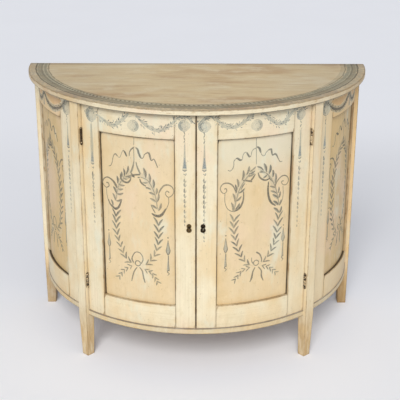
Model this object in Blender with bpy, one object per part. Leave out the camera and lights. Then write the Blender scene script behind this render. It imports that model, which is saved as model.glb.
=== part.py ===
"""Demilune cabinet: a painted half-round cupboard with two curved doors, in metres, +Z up.

In plan the cabinet is a half circle with its flat side to the wall. Nearly every piece is a band of
that circle, cut off by upright planes, so the meshes are drawn about the circle's centre, which lies
on the floor in the line of the cabinet's back. Azimuths are measured from straight ahead.
"""

import math

import bmesh
import bpy
from mathutils import Matrix, Vector

# The half circle: everything stands a named step in or out of the doors' face
DOOR_FACE_RADIUS = 0.530
SIDE_SETBACK = 0.009
POST_PROUD = 0.012
BACK_POST_PROUD = 0.012
BASE_PROUD = 0.002
TOP_OVERHANG = 0.008
FRAME_THICKNESS = 0.020
ARC_STEP = math.radians(2.5)
NEAR_END_SHARE = 0.15

# Heights
CABINET_HEIGHT = 0.865
TOP_THICKNESS = 0.016
LEG_HEIGHT = 0.146
BOTTOM_THICKNESS = 0.018

# Clearances
JOINT_GAP = 0.0003
OVERRUN = 0.004
HINGE_GAP = 0.0018
MEETING_GAP = 0.003
DOOR_BOTTOM_GAP = 0.0015
DOOR_TOP_GAP = 0.002
DOOR_STOP_GAP = 0.0015

# Rounding of worn edges
TOP_EDGE_ROUNDING = 0.003
EDGE_ROUNDING = 0.0012
SHARPEST_SMOOTH_ANGLE = math.radians(30)

# Posts, each running down into a tapered leg
FRONT_POST_AZIMUTH = math.radians(41.9)
BACK_AZIMUTH = math.radians(90)
POST_WIDTH = 0.036
FOOT_WIDTH = 0.026
FOOT_DEPTH = 0.027
BACK_POST_WIDTH = 0.036
BACK_POST_DEPTH = 0.046
BACK_FOOT_WIDTH = 0.029
BACK_FOOT_DEPTH = 0.040

# Frames and panels
HINGE_STILE_WIDTH = 0.065
MEETING_STILE_WIDTH = 0.060
SIDE_FRONT_STILE_WIDTH = 0.078
SIDE_BACK_STILE_WIDTH = 0.066
RAIL_WIDTH = 0.075
PANEL_THICKNESS = 0.007
PANEL_RECESS = 0.009
GROOVE_DEPTH = 0.008
TENON_LENGTH = 0.028
TENON_ROOT = 0.006
TENON_THICKNESS = 0.007
TENON_MARGIN = 0.003

# Rails, shelf and back inside the carcass
STOP_RAIL_THICKNESS = 0.020
STOP_RAIL_HEIGHT = 0.040
STOP_RAIL_END_INSET = 0.001
SHELF_DOOR_CLEARANCE = 0.040
SHELF_UNDERSIDE = 0.486
SHELF_THICKNESS = 0.016
CLEAT_SIZE = 0.018
BACK_BOARD_COUNT = 4
BACK_BOARD_THICKNESS = 0.010
BACK_BOARD_INSET = 0.002
BACK_BOARD_SPACE = 0.0008

# Butt hinges
HINGE_LENGTH = 0.050
HINGE_END_DISTANCE = 0.103
LEAF_WIDTH = 0.016
LEAF_THICKNESS = 0.0012
KNUCKLE_RADIUS = 0.003
END_KNUCKLE_LENGTH = 0.016
PIN_RADIUS = 0.0012
PIN_HEAD_RADIUS = 0.0022
PIN_HEAD_HEIGHT = 0.0015
ROUND_SIDES = 16

# Keyholes and their plates
KEYHOLE_HEIGHT = 0.500
KEYHOLE_OFFSET = 0.0206
KEYPLATE_THICKNESS = 0.0012
KEYPLATE_UPPER_RADIUS = 0.0072
KEYPLATE_LOWER_RADIUS = 0.0080
KEYPLATE_CENTRE_DISTANCE = 0.0125
KEYHOLE_RADIUS = 0.0026
KEYHOLE_SLOT_WIDTH = 0.0026
KEYHOLE_RISE = 0.0030
KEYHOLE_DROP = 0.0075
KEYHOLE_CASE_DEPTH = 0.008
KEYPLATE_ARC_POINTS = 14

# Lock on the right door and its strike on the left door
LOCK_WIDTH = 0.048
LOCK_THICKNESS = 0.012
LOCK_HOUSING = 0.0015
LOCK_RISE = 0.034
LOCK_DROP = 0.024
LOCK_SETBACK = 0.0005
LOCK_BOLT_LENGTH = 0.030
LOCK_BOLT_HEIGHT = 0.010
LOCK_BOLT_THICKNESS = 0.005
LOCK_BOLT_RISE = 0.020
LOCK_BOLT_BACKSET = 0.0005
STRIKE_WIDTH = 0.016
STRIKE_DEPTH = 0.011

# Surface bolt that holds the left door
BOLT_PLATE_WIDTH = 0.022
BOLT_PLATE_HEIGHT = 0.080
BOLT_PLATE_THICKNESS = 0.002
BOLT_PLATE_OFFSET = 0.034
BOLT_STANDOFF = 0.003
BOLT_ROD_SIZE = 0.006
BOLT_GUIDE_WIDTH = 0.013
BOLT_GUIDE_HEIGHT = 0.010
BOLT_GUIDE_WALL = 0.002
BOLT_TIP_CLEARANCE = 0.002
BOLT_TIP_PROJECTION = 0.006
BOLT_TAIL = 0.008
BOLT_KNOB_RADIUS = 0.004
BOLT_KNOB_LENGTH = 0.009
BOLT_TRAVEL = 0.012
BOLT_HOLE_CLEARANCE = 0.0006

# Sizes worked out from the ones above
SIDE_FACE_RADIUS = DOOR_FACE_RADIUS - SIDE_SETBACK
POST_FACE_RADIUS = DOOR_FACE_RADIUS + POST_PROUD
TOP_RADIUS = POST_FACE_RADIUS + TOP_OVERHANG
BACK_POST_OUTER = SIDE_FACE_RADIUS + BACK_POST_PROUD
BACK_POST_INNER = BACK_POST_OUTER - BACK_POST_WIDTH
DOOR_INNER_RADIUS = DOOR_FACE_RADIUS - FRAME_THICKNESS
SIDE_INNER_RADIUS = SIDE_FACE_RADIUS - FRAME_THICKNESS
STOP_RAIL_OUTER_RADIUS = DOOR_INNER_RADIUS - DOOR_STOP_GAP
POST_INNER_FACE = STOP_RAIL_OUTER_RADIUS + JOINT_GAP
HALF_POST = POST_WIDTH / 2
TOP_UNDERSIDE = CABINET_HEIGHT - TOP_THICKNESS
BOTTOM_SURFACE = LEG_HEIGHT + BOTTOM_THICKNESS
DOOR_BOTTOM = BOTTOM_SURFACE + DOOR_BOTTOM_GAP
DOOR_TOP = TOP_UNDERSIDE - DOOR_TOP_GAP
STOP_RAIL_UNDERSIDE = TOP_UNDERSIDE - JOINT_GAP - STOP_RAIL_HEIGHT
SHELF_FRONT_RADIUS = DOOR_INNER_RADIUS - SHELF_DOOR_CLEARANCE
SHELF_SURFACE = SHELF_UNDERSIDE + SHELF_THICKNESS
CLEAT_TOP = SHELF_UNDERSIDE - JOINT_GAP
BACK_BOARD_FRONT = BACK_BOARD_INSET + BACK_BOARD_THICKNESS
TENON_INSET = GROOVE_DEPTH + TENON_MARGIN
DOOR_EDGE_REACH = math.sqrt(DOOR_FACE_RADIUS**2 - (HALF_POST + HINGE_GAP) ** 2)
PIN_ALONG = -(HALF_POST + HINGE_GAP / 2)
PIN_OUT = DOOR_EDGE_REACH + KNUCKLE_RADIUS + JOINT_GAP
HINGE_LOWS = (
    DOOR_BOTTOM + HINGE_END_DISTANCE - HINGE_LENGTH / 2,
    DOOR_TOP - HINGE_END_DISTANCE - HINGE_LENGTH / 2,
)
HINGE_PLACES = ("lower", "upper")
PLAN_CENTRE = Vector((0, TOP_RADIUS / 2, 0))
UP = Vector((0, 0, 1))
SIDES = {"left": -1, "right": 1}

# Upright planes that pieces end at: an azimuth, and an offset to the side of that azimuth's plane
MEETING_PLANE = (0, MEETING_GAP / 2)
HINGE_PLANE = (FRONT_POST_AZIMUTH, -(HALF_POST + HINGE_GAP))
POST_SIDE_PLANE = (FRONT_POST_AZIMUTH, HALF_POST + JOINT_GAP)
BACK_POST_PLANE = (BACK_AZIMUTH, -(BACK_POST_DEPTH + JOINT_GAP))

# Surfaces: colour in linear RGB, roughness, metallic
CREAM_PAINT = ((0.80, 0.72, 0.52), 0.55, 0)
PEACH_PAINT = ((0.78, 0.66, 0.46), 0.55, 0)
WORN_TOP_PAINT = ((0.52, 0.42, 0.29), 0.45, 0)
BARE_PINE = ((0.55, 0.38, 0.20), 0.70, 0)
BLACK_IRON = ((0.05, 0.04, 0.03), 0.60, 1)
OLD_BRASS = ((0.24, 0.16, 0.07), 0.50, 1)


def clear_scene():
    for item in list(bpy.data.objects):
        bpy.data.objects.remove(item)


def surface_material(name, surface):
    colour, roughness, metallic = surface
    material = bpy.data.materials.new(name)
    material.use_nodes = True
    shader = material.node_tree.nodes["Principled BSDF"]
    shader.inputs["Base Color"].default_value = (*colour, 1)
    shader.inputs["Roughness"].default_value = roughness
    shader.inputs["Metallic"].default_value = metallic
    return material


def new_piece(name, mesh):
    piece = bpy.data.objects.new(name, mesh)
    bpy.context.scene.collection.objects.link(piece)
    return piece


def stacked(name, rings):
    """A solid through rings of points, each ring as many points as the last, with flat ends."""
    shape = bmesh.new()
    loops = [[shape.verts.new(point) for point in ring] for ring in rings]
    shape.faces.new(loops[0])
    shape.faces.new(loops[-1])
    for lower, upper in zip(loops, loops[1:]):
        for here in range(len(lower)):
            after = (here + 1) % len(lower)
            shape.faces.new((lower[here], lower[after], upper[after], upper[here]))
    bmesh.ops.recalc_face_normals(shape, faces=shape.faces)
    mesh = bpy.data.meshes.new(name)
    shape.to_mesh(mesh)
    shape.free()
    return new_piece(name, mesh)


def prism(name, outline, low, high, frame=Matrix.Identity(4)):
    """A flat outline drawn in a frame's x and y, pushed along its z from low to high."""
    rings = [[frame @ Vector((x, y, level)) for x, y in outline] for level in (low, high)]
    return stacked(name, rings)


def rectangle(across, upward):
    (left, right), (bottom, top) = across, upward
    return [(left, bottom), (right, bottom), (right, top), (left, top)]


def box(name, across, along, upward, frame=Matrix.Identity(4)):
    return prism(name, rectangle(across, along), *upward, frame)


def circle(radius, centre=(0, 0), sides=ROUND_SIDES):
    turns = [math.tau * side / sides for side in range(sides)]
    return [(centre[0] + radius * math.cos(turn), centre[1] + radius * math.sin(turn)) for turn in turns]


def upright_frame(azimuth, side):
    """Axes at an azimuth: x along the curve away from the front, y outwards, z up."""
    along = Vector((side * math.cos(azimuth), math.sin(azimuth), 0))
    outwards = Vector((side * math.sin(azimuth), -math.cos(azimuth), 0))
    return Matrix((along, outwards, UP)).transposed().to_4x4()


def facing_frame(azimuth, side):
    """Axes at an azimuth for plates on the curve: x along it, y up, z outwards."""
    along = Vector((side * math.cos(azimuth), math.sin(azimuth), 0))
    outwards = Vector((side * math.sin(azimuth), -math.cos(azimuth), 0))
    return Matrix((along, UP, outwards)).transposed().to_4x4()


def shifted(plane, distance):
    azimuth, offset = plane
    return (azimuth, offset + distance)


def azimuth_on(plane, radius):
    """Where an upright plane cuts a circle about the centre."""
    azimuth, offset = plane
    return azimuth + math.asin(offset / radius)


def plan_point(radius, azimuth):
    return (radius * math.sin(azimuth), -radius * math.cos(azimuth))


def arc(radius, start, end):
    """Points along a circle: both ends, and the grid of azimuths that all pieces share between them."""
    margin = ARC_STEP * NEAR_END_SHARE
    steps = range(math.ceil((start + margin) / ARC_STEP), math.floor((end - margin) / ARC_STEP) + 1)
    azimuths = [start] + [step * ARC_STEP for step in steps] + [end]
    return [plan_point(radius, azimuth) for azimuth in azimuths]


def band(name, radii, planes, heights, side=1):
    """A curved piece between two radii, two upright planes and two heights."""
    inner, outer = radii
    start, end = planes
    outer_arc = arc(outer, azimuth_on(start, outer), azimuth_on(end, outer))
    inner_arc = arc(inner, azimuth_on(start, inner), azimuth_on(end, inner))
    outline = [(side * x, y) for x, y in outer_arc + inner_arc[::-1]]
    return prism(name, outline, *heights)


def half_round(front_radius, side_radius, back):
    """Outline of a board that fills the plan, with one radius at the doors and one at the sides."""
    back_end = azimuth_on((BACK_AZIMUTH, -back), side_radius)
    right = arc(side_radius, FRONT_POST_AZIMUTH, back_end)
    front = arc(front_radius, 0, FRONT_POST_AZIMUTH)
    half = front + right
    return [(-x, y) for x, y in half[:0:-1]] + half


def settle(piece):
    """Makes a piece's modifiers part of its mesh."""
    bpy.context.view_layer.update()
    graph = bpy.context.evaluated_depsgraph_get()
    mesh = bpy.data.meshes.new_from_object(piece.evaluated_get(graph))
    piece.modifiers.clear()
    piece.data = mesh


def combine(piece, tool, operation):
    boolean = piece.modifiers.new("joinery", "BOOLEAN")
    boolean.operation = operation
    boolean.solver = "EXACT"
    boolean.object = tool
    settle(piece)
    bpy.data.objects.remove(tool)


def carve(piece, tool):
    combine(piece, tool, "DIFFERENCE")


def join(piece, tool):
    combine(piece, tool, "UNION")


def soften(piece, width, segments=1):
    """Rounds the edges that hands and years have worn."""
    rounding = piece.modifiers.new("worn edges", "BEVEL")
    rounding.width = width
    rounding.segments = segments
    rounding.limit_method = "ANGLE"
    settle(piece)


def dress(piece, surface, parent=None):
    """Gives a finished piece its material, its shading and its place."""
    piece.data.materials.clear()
    piece.data.materials.append(surface_material(piece.name, surface))
    piece.data.shade_smooth()
    piece.data.set_sharp_from_angle(angle=SHARPEST_SMOOTH_ANGLE)
    piece.location = PLAN_CENTRE
    if parent:
        piece.parent = parent
        piece.location = PLAN_CENTRE - Vector(parent["place"])
    return piece


def joint_empty(name, place, parent=None):
    """An empty on a joint's axis, for the pieces that move about it."""
    empty = bpy.data.objects.new(name, None)
    bpy.context.scene.collection.objects.link(empty)
    empty["place"] = place
    empty.location = place
    if parent:
        empty.parent = parent
        empty.location = place - Vector(parent["place"])
    return empty


def front_post(name, side):
    """Square post that stands proud of the doors; its leg tapers on the two hidden faces."""
    frame = upright_frame(FRONT_POST_AZIMUTH, side)
    foot = rectangle(
        (-HALF_POST, -HALF_POST + FOOT_WIDTH), (POST_FACE_RADIUS - FOOT_DEPTH, POST_FACE_RADIUS)
    )
    full = rectangle((-HALF_POST, HALF_POST), (POST_INNER_FACE, POST_FACE_RADIUS))
    levels = ((foot, 0), (full, LEG_HEIGHT), (full, TOP_UNDERSIDE - JOINT_GAP))
    piece = stacked(name, [[frame @ Vector((x, y, z)) for x, y in ring] for ring, z in levels])
    soften(piece, EDGE_ROUNDING)
    for low in HINGE_LOWS:
        carve(piece, leaf_pocket(side, low, toward_post=True))
        carve(piece, knuckle_pocket(side, low))
    return dress(piece, CREAM_PAINT)


def back_post(name, side):
    """Square post against the wall; its outer and back faces stay upright down the leg."""
    foot_inner = BACK_POST_OUTER - BACK_FOOT_WIDTH
    foot = rectangle((side * foot_inner, side * BACK_POST_OUTER), (-BACK_FOOT_DEPTH, 0))
    full = rectangle((side * BACK_POST_INNER, side * BACK_POST_OUTER), (-BACK_POST_DEPTH, 0))
    levels = ((foot, 0), (full, LEG_HEIGHT), (full, TOP_UNDERSIDE - JOINT_GAP))
    piece = stacked(name, [[Vector((x, y, z)) for x, y in ring] for ring, z in levels])
    soften(piece, EDGE_ROUNDING)
    return dress(piece, CREAM_PAINT)


def top_board():
    """Half-round top with a square edge, its back edge against the wall."""
    outline = arc(TOP_RADIUS, -BACK_AZIMUTH, BACK_AZIMUTH)
    piece = prism("top", outline, TOP_UNDERSIDE, CABINET_HEIGHT)
    soften(piece, TOP_EDGE_ROUNDING, segments=2)
    return dress(piece, WORN_TOP_PAINT)


def bottom_board():
    """Floor of the cupboard: its edge shows below the doors, and it is notched round the posts."""
    outline = half_round(
        DOOR_FACE_RADIUS + BASE_PROUD, SIDE_FACE_RADIUS + BASE_PROUD, BACK_BOARD_FRONT + JOINT_GAP
    )
    piece = prism("bottom_board", outline, LEG_HEIGHT, BOTTOM_SURFACE)
    soften(piece, EDGE_ROUNDING)
    heights = (LEG_HEIGHT - OVERRUN, BOTTOM_SURFACE + OVERRUN)
    for side in SIDES.values():
        front = box(
            "front_notch",
            (-HALF_POST - JOINT_GAP, HALF_POST + JOINT_GAP),
            (POST_INNER_FACE - JOINT_GAP, POST_FACE_RADIUS + OVERRUN),
            heights,
            upright_frame(FRONT_POST_AZIMUTH, side),
        )
        back = box(
            "back_notch",
            (side * (BACK_POST_INNER - JOINT_GAP), side * (BACK_POST_OUTER + OVERRUN)),
            (-BACK_POST_DEPTH - JOINT_GAP, OVERRUN),
            heights,
        )
        carve(piece, front)
        carve(piece, back)
    return dress(piece, CREAM_PAINT)


def framed_panel(names, side, face, edges, widths, heights):
    """A frame of two stiles and two tenoned rails round a loose panel, curved to one face radius.

    names, edges and widths give the stile nearer the front first, then the one farther back.
    """
    near_edge, far_edge = edges
    near_inner, far_inner = shifted(near_edge, widths[0]), shifted(far_edge, -widths[1])
    low, high = heights
    frame_radii = (face - FRAME_THICKNESS, face)
    near = band(names["near_stile"], frame_radii, (near_edge, near_inner), heights, side)
    far = band(names["far_stile"], frame_radii, (far_inner, far_edge), heights, side)
    shoulders = (shifted(near_inner, JOINT_GAP), shifted(far_inner, -JOINT_GAP))
    rail_heights = {
        "top_rail": (high - RAIL_WIDTH, high),
        "bottom_rail": (low, low + RAIL_WIDTH),
    }
    rails = {
        part: band(names[part], frame_radii, shoulders, span, side) for part, span in rail_heights.items()
    }
    for piece in (near, far, *rails.values()):
        soften(piece, EDGE_ROUNDING)
    for part, span in rail_heights.items():
        join_tenons(rails[part], (near, far), (near_inner, far_inner), face, span, side)
    panel_radii = (face - PANEL_RECESS - PANEL_THICKNESS, face - PANEL_RECESS)
    panel_planes = (shifted(near_inner, -GROOVE_DEPTH), shifted(far_inner, GROOVE_DEPTH))
    panel_heights = (low + RAIL_WIDTH - GROOVE_DEPTH, high - RAIL_WIDTH + GROOVE_DEPTH)
    panel = band(names["panel"], panel_radii, panel_planes, panel_heights, side)
    for piece in (near, far, *rails.values()):
        groove = band("groove", *grown(panel_radii, panel_planes, panel_heights), side)
        carve(piece, groove)
    return near, far, rails["top_rail"], rails["bottom_rail"], panel


def grown(radii, planes, heights):
    """The space that a band needs, with the joint gap all round it."""
    return (
        (radii[0] - JOINT_GAP, radii[1] + JOINT_GAP),
        (shifted(planes[0], -JOINT_GAP), shifted(planes[1], JOINT_GAP)),
        (heights[0] - JOINT_GAP, heights[1] + JOINT_GAP),
    )


def join_tenons(rail, stiles, inner_edges, face, span, side):
    """Gives a rail its two tenons and cuts their mortises in the stiles."""
    middle = face - FRAME_THICKNESS / 2
    radii = (middle - TENON_THICKNESS / 2, middle + TENON_THICKNESS / 2)
    heights = (span[0] + TENON_INSET, span[1] - TENON_INSET)
    near_inner, far_inner = inner_edges
    reaches = (
        (shifted(near_inner, -TENON_LENGTH), shifted(near_inner, TENON_ROOT)),
        (shifted(far_inner, -TENON_ROOT), shifted(far_inner, TENON_LENGTH)),
    )
    for stile, planes in zip(stiles, reaches):
        join(rail, band("tenon", radii, planes, heights, side))
        carve(stile, band("mortise", *grown(radii, planes, heights), side))


def side_frame(word, side):
    """The fixed curved panel between a front post and a back post."""
    names = {
        "near_stile": f"{word}_side_front_stile",
        "far_stile": f"{word}_side_back_stile",
        "top_rail": f"{word}_side_top_rail",
        "bottom_rail": f"{word}_side_bottom_rail",
        "panel": f"{word}_side_panel",
    }
    pieces = framed_panel(
        names,
        side,
        SIDE_FACE_RADIUS,
        (POST_SIDE_PLANE, BACK_POST_PLANE),
        (SIDE_FRONT_STILE_WIDTH, SIDE_BACK_STILE_WIDTH),
        (BOTTOM_SURFACE + JOINT_GAP, TOP_UNDERSIDE - JOINT_GAP),
    )
    *frame, panel = pieces
    for piece in frame:
        dress(piece, CREAM_PAINT)
    dress(panel, PEACH_PAINT)


def leaf_span(toward_post):
    """Across the gap, the space of the leaf on the post's side or on the door's side."""
    near, far = JOINT_GAP / 2, JOINT_GAP / 2 + LEAF_THICKNESS
    if toward_post:
        return (PIN_ALONG + near, PIN_ALONG + far)
    return (PIN_ALONG - far, PIN_ALONG - near)


def leaf_pocket(side, low, toward_post):
    """Recess that a hinge leaf is let into."""
    start, end = leaf_span(toward_post)
    across = (PIN_ALONG, end + JOINT_GAP) if toward_post else (start - JOINT_GAP, PIN_ALONG)
    inner = DOOR_EDGE_REACH - LEAF_WIDTH - JOINT_GAP
    heights = (low - JOINT_GAP, low + HINGE_LENGTH + JOINT_GAP)
    frame = upright_frame(FRONT_POST_AZIMUTH, side)
    return box("leaf_pocket", across, (inner, PIN_OUT), heights, frame)


def knuckle_pocket(side, low):
    """Recess in the post that the hinge's knuckles turn in."""
    reach = KNUCKLE_RADIUS + JOINT_GAP
    ends = PIN_HEAD_HEIGHT + JOINT_GAP + JOINT_GAP
    across = (PIN_ALONG, PIN_ALONG + reach)
    heights = (low - ends, low + HINGE_LENGTH + ends)
    frame = upright_frame(FRONT_POST_AZIMUTH, side)
    return box("knuckle_pocket", across, (PIN_OUT - reach, PIN_OUT + reach), heights, frame)


def leaf_outline(toward_post):
    """Plan of a leaf with its round knuckle, about the pin."""
    near, far = JOINT_GAP / 2, JOINT_GAP / 2 + LEAF_THICKNESS
    inner = DOOR_EDGE_REACH - LEAF_WIDTH - PIN_OUT
    start = -math.acos(near / KNUCKLE_RADIUS)
    end = -math.acos(far / KNUCKLE_RADIUS) - math.tau
    turns = [start + (end - start) * step / ROUND_SIDES for step in range(ROUND_SIDES + 1)]
    rounds = [(KNUCKLE_RADIUS * math.cos(turn), KNUCKLE_RADIUS * math.sin(turn)) for turn in turns]
    way = 1 if toward_post else -1
    return [(PIN_ALONG + way * x, PIN_OUT + y) for x, y in [(near, inner), *rounds, (far, inner)]]


def hinge_leaf(name, side, low, toward_post):
    """A flat leaf with the knuckles that it holds round the pin, clear of the other leaf's."""
    frame = upright_frame(FRONT_POST_AZIMUTH, side)
    high = low + HINGE_LENGTH
    if toward_post:
        gaps = ((low + END_KNUCKLE_LENGTH, high - END_KNUCKLE_LENGTH),)
    else:
        inset = END_KNUCKLE_LENGTH + JOINT_GAP
        gaps = ((low - OVERRUN, low + inset), (high - inset, high + OVERRUN))
    leaf = prism(name, leaf_outline(toward_post), low, high, frame)
    reach = KNUCKLE_RADIUS + OVERRUN
    for heights in gaps:
        across = (PIN_ALONG - reach, PIN_ALONG + reach)
        carve(leaf, box("gap", across, (DOOR_EDGE_REACH, PIN_OUT + reach), heights, frame))
    bore = circle(PIN_RADIUS + JOINT_GAP, (PIN_ALONG, PIN_OUT))
    carve(leaf, prism("bore", bore, low - OVERRUN, high + OVERRUN, frame))
    return leaf


def hinge_pin(name, side, low):
    """Riveted pin with a small head at each end."""
    frame = upright_frame(FRONT_POST_AZIMUTH, side)
    high = low + HINGE_LENGTH
    profile = (
        (PIN_HEAD_RADIUS, low - JOINT_GAP - PIN_HEAD_HEIGHT),
        (PIN_HEAD_RADIUS, low - JOINT_GAP),
        (PIN_RADIUS, low - JOINT_GAP),
        (PIN_RADIUS, high + JOINT_GAP),
        (PIN_HEAD_RADIUS, high + JOINT_GAP),
        (PIN_HEAD_RADIUS, high + JOINT_GAP + PIN_HEAD_HEIGHT),
    )
    centre = (PIN_ALONG, PIN_OUT)
    rings = [[frame @ Vector((x, y, z)) for x, y in circle(radius, centre)] for radius, z in profile]
    return dress(stacked(name, rings), BLACK_IRON)


def pin_place(side):
    place = upright_frame(FRONT_POST_AZIMUTH, side) @ Vector((PIN_ALONG, PIN_OUT, 0))
    return PLAN_CENTRE + place


def keyplate_outline():
    """Outline of two overlapping rounds, one above the other."""
    distance, upper, lower = KEYPLATE_CENTRE_DISTANCE, KEYPLATE_UPPER_RADIUS, KEYPLATE_LOWER_RADIUS
    fall = (distance**2 + upper**2 - lower**2) / (2 * distance)
    waist = math.sqrt(upper**2 - fall**2)
    upper_start = math.atan2(-fall, waist)
    lower_start = math.atan2(distance - fall, waist)
    outline = []
    for centre, radius, start, end in (
        (distance / 2, upper, upper_start, math.pi - upper_start),
        (-distance / 2, lower, math.pi - lower_start, math.tau + lower_start),
    ):
        for step in range(KEYPLATE_ARC_POINTS):
            turn = start + (end - start) * step / KEYPLATE_ARC_POINTS
            outline.append((radius * math.cos(turn), centre + radius * math.sin(turn)))
    return outline


def keyhole_outline():
    """A round hole over an upright slot."""
    half_slot = KEYHOLE_SLOT_WIDTH / 2
    start = -math.pi / 2 + math.asin(half_slot / KEYHOLE_RADIUS)
    end = math.pi - start
    turns = [start + (end - start) * step / ROUND_SIDES for step in range(ROUND_SIDES + 1)]
    radius = KEYHOLE_RADIUS
    rounds = [(radius * math.cos(turn), KEYHOLE_RISE + radius * math.sin(turn)) for turn in turns]
    return rounds + [(-half_slot, -KEYHOLE_DROP), (half_slot, -KEYHOLE_DROP)]


def keyhole_frame(side):
    azimuth = math.asin(KEYHOLE_OFFSET / DOOR_FACE_RADIUS)
    return Matrix.Translation(UP * KEYHOLE_HEIGHT) @ facing_frame(azimuth, side)


def keyhole_cutter(side, depth):
    outer = DOOR_FACE_RADIUS + JOINT_GAP + KEYPLATE_THICKNESS + OVERRUN
    return prism("keyhole", keyhole_outline(), depth, outer, keyhole_frame(side))


def keyplate(name, side):
    """Pierced plate on the door's face round the keyhole."""
    seat = DOOR_FACE_RADIUS + JOINT_GAP
    piece = prism(name, keyplate_outline(), seat, seat + KEYPLATE_THICKNESS, keyhole_frame(side))
    carve(piece, keyhole_cutter(side, seat - OVERRUN))
    return piece


def lock_depths():
    """How far out the lock's back and front faces lie, the front one let into the stile."""
    front = DOOR_INNER_RADIUS - JOINT_GAP + LOCK_HOUSING
    return (-front, -front + LOCK_THICKNESS)


def lock_block(name, side, width, clearance):
    """The block of the lock, or of its strike, with clearance all round for its housing."""
    start = MEETING_GAP / 2 + LOCK_SETBACK
    back, front = lock_depths()
    return box(
        name,
        (side * (start - clearance), side * (start + width + clearance)),
        (back - clearance, front + clearance),
        (KEYHOLE_HEIGHT - LOCK_DROP - clearance, KEYHOLE_HEIGHT + LOCK_RISE + clearance),
    )


def bolt_heights(clearance):
    middle = KEYHOLE_HEIGHT + LOCK_BOLT_RISE
    half = LOCK_BOLT_HEIGHT / 2 + clearance
    return (middle - half, middle + half)


def bolt_depths(clearance):
    back, front = lock_depths()
    middle = (back + front) / 2
    half = LOCK_BOLT_THICKNESS / 2 + clearance
    return (middle - half, middle + half)


def lock_case():
    """Iron lock case with a channel for the bolt and a blind keyhole."""
    piece = lock_block("lock_case", SIDES["right"], LOCK_WIDTH, 0)
    start = MEETING_GAP / 2 + LOCK_SETBACK
    reach = start + LOCK_BOLT_BACKSET + LOCK_BOLT_LENGTH + JOINT_GAP
    channel = box("channel", (start - OVERRUN, reach), bolt_depths(JOINT_GAP), bolt_heights(JOINT_GAP))
    carve(piece, channel)
    carve(piece, keyhole_cutter(SIDES["right"], -lock_depths()[0] - KEYHOLE_CASE_DEPTH))
    return piece


def lock_bolt():
    """Square bolt, drawn back into its case."""
    start = MEETING_GAP / 2 + LOCK_SETBACK + LOCK_BOLT_BACKSET
    return box("lock_bolt", (start, start + LOCK_BOLT_LENGTH), bolt_depths(0), bolt_heights(0))


def lock_strike():
    """Block on the left door with the pocket that the bolt shoots into."""
    piece = lock_block("lock_strike", SIDES["left"], STRIKE_WIDTH, 0)
    start = -MEETING_GAP / 2 - LOCK_SETBACK
    clearance = BOLT_HOLE_CLEARANCE
    pocket = (start - STRIKE_DEPTH, start + OVERRUN)
    carve(piece, box("pocket", pocket, bolt_depths(clearance), bolt_heights(clearance)))
    return piece


def bolt_frame():
    azimuth = math.asin(BOLT_PLATE_OFFSET / DOOR_INNER_RADIUS)
    return upright_frame(azimuth, SIDES["left"])


def bolt_plate_out():
    """How far out the bolt plate's front face lies, so that its edges meet the stile."""
    return math.sqrt((DOOR_INNER_RADIUS - JOINT_GAP) ** 2 - (BOLT_PLATE_WIDTH / 2) ** 2)


def rod_depths():
    outer = bolt_plate_out() - BOLT_PLATE_THICKNESS - BOLT_STANDOFF
    return (outer - BOLT_ROD_SIZE, outer)


def rod_square(clearance):
    half = BOLT_ROD_SIZE / 2 + clearance
    inner, outer = rod_depths()
    return (-half, half), (inner - clearance, outer + clearance)


def rod_tip():
    return STOP_RAIL_UNDERSIDE - BOLT_TIP_CLEARANCE


def bolt_plate():
    """Plate of the surface bolt with the two guides that the rod slides in."""
    frame = bolt_frame()
    out = bolt_plate_out()
    high = rod_tip() - BOLT_TIP_PROJECTION
    low = high - BOLT_PLATE_HEIGHT
    half = BOLT_PLATE_WIDTH / 2
    depths = (out - BOLT_PLATE_THICKNESS, out)
    plate = box("bolt_plate", (-half, half), depths, (low, high), frame)
    half_guide = BOLT_GUIDE_WIDTH / 2
    guide_depths = (rod_depths()[0] - BOLT_GUIDE_WALL, out - BOLT_PLATE_THICKNESS / 2)
    for guide_low in (low, high - BOLT_GUIDE_HEIGHT):
        heights = (guide_low, guide_low + BOLT_GUIDE_HEIGHT)
        join(plate, box("guide", (-half_guide, half_guide), guide_depths, heights, frame))
    carve(plate, box("rod_way", *rod_square(JOINT_GAP), (low - OVERRUN, high + OVERRUN), frame))
    return plate


def bolt_rod():
    """Sliding rod with a finger knob, drawn down clear of the stop rail."""
    frame = bolt_frame()
    tip = rod_tip()
    tail = tip - BOLT_TIP_PROJECTION - BOLT_PLATE_HEIGHT - BOLT_TAIL
    rod = box("bolt_rod", *rod_square(0), (tail, tip), frame)
    knob_height = (tip + tail - BOLT_TRAVEL) / 2
    inner = rod_depths()[0]
    facing = facing_frame(math.asin(BOLT_PLATE_OFFSET / DOOR_INNER_RADIUS), SIDES["left"])
    knob = circle(BOLT_KNOB_RADIUS, (0, knob_height))
    join(rod, prism("knob", knob, inner - BOLT_KNOB_LENGTH, inner + BOLT_ROD_SIZE / 2, facing))
    return rod


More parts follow.
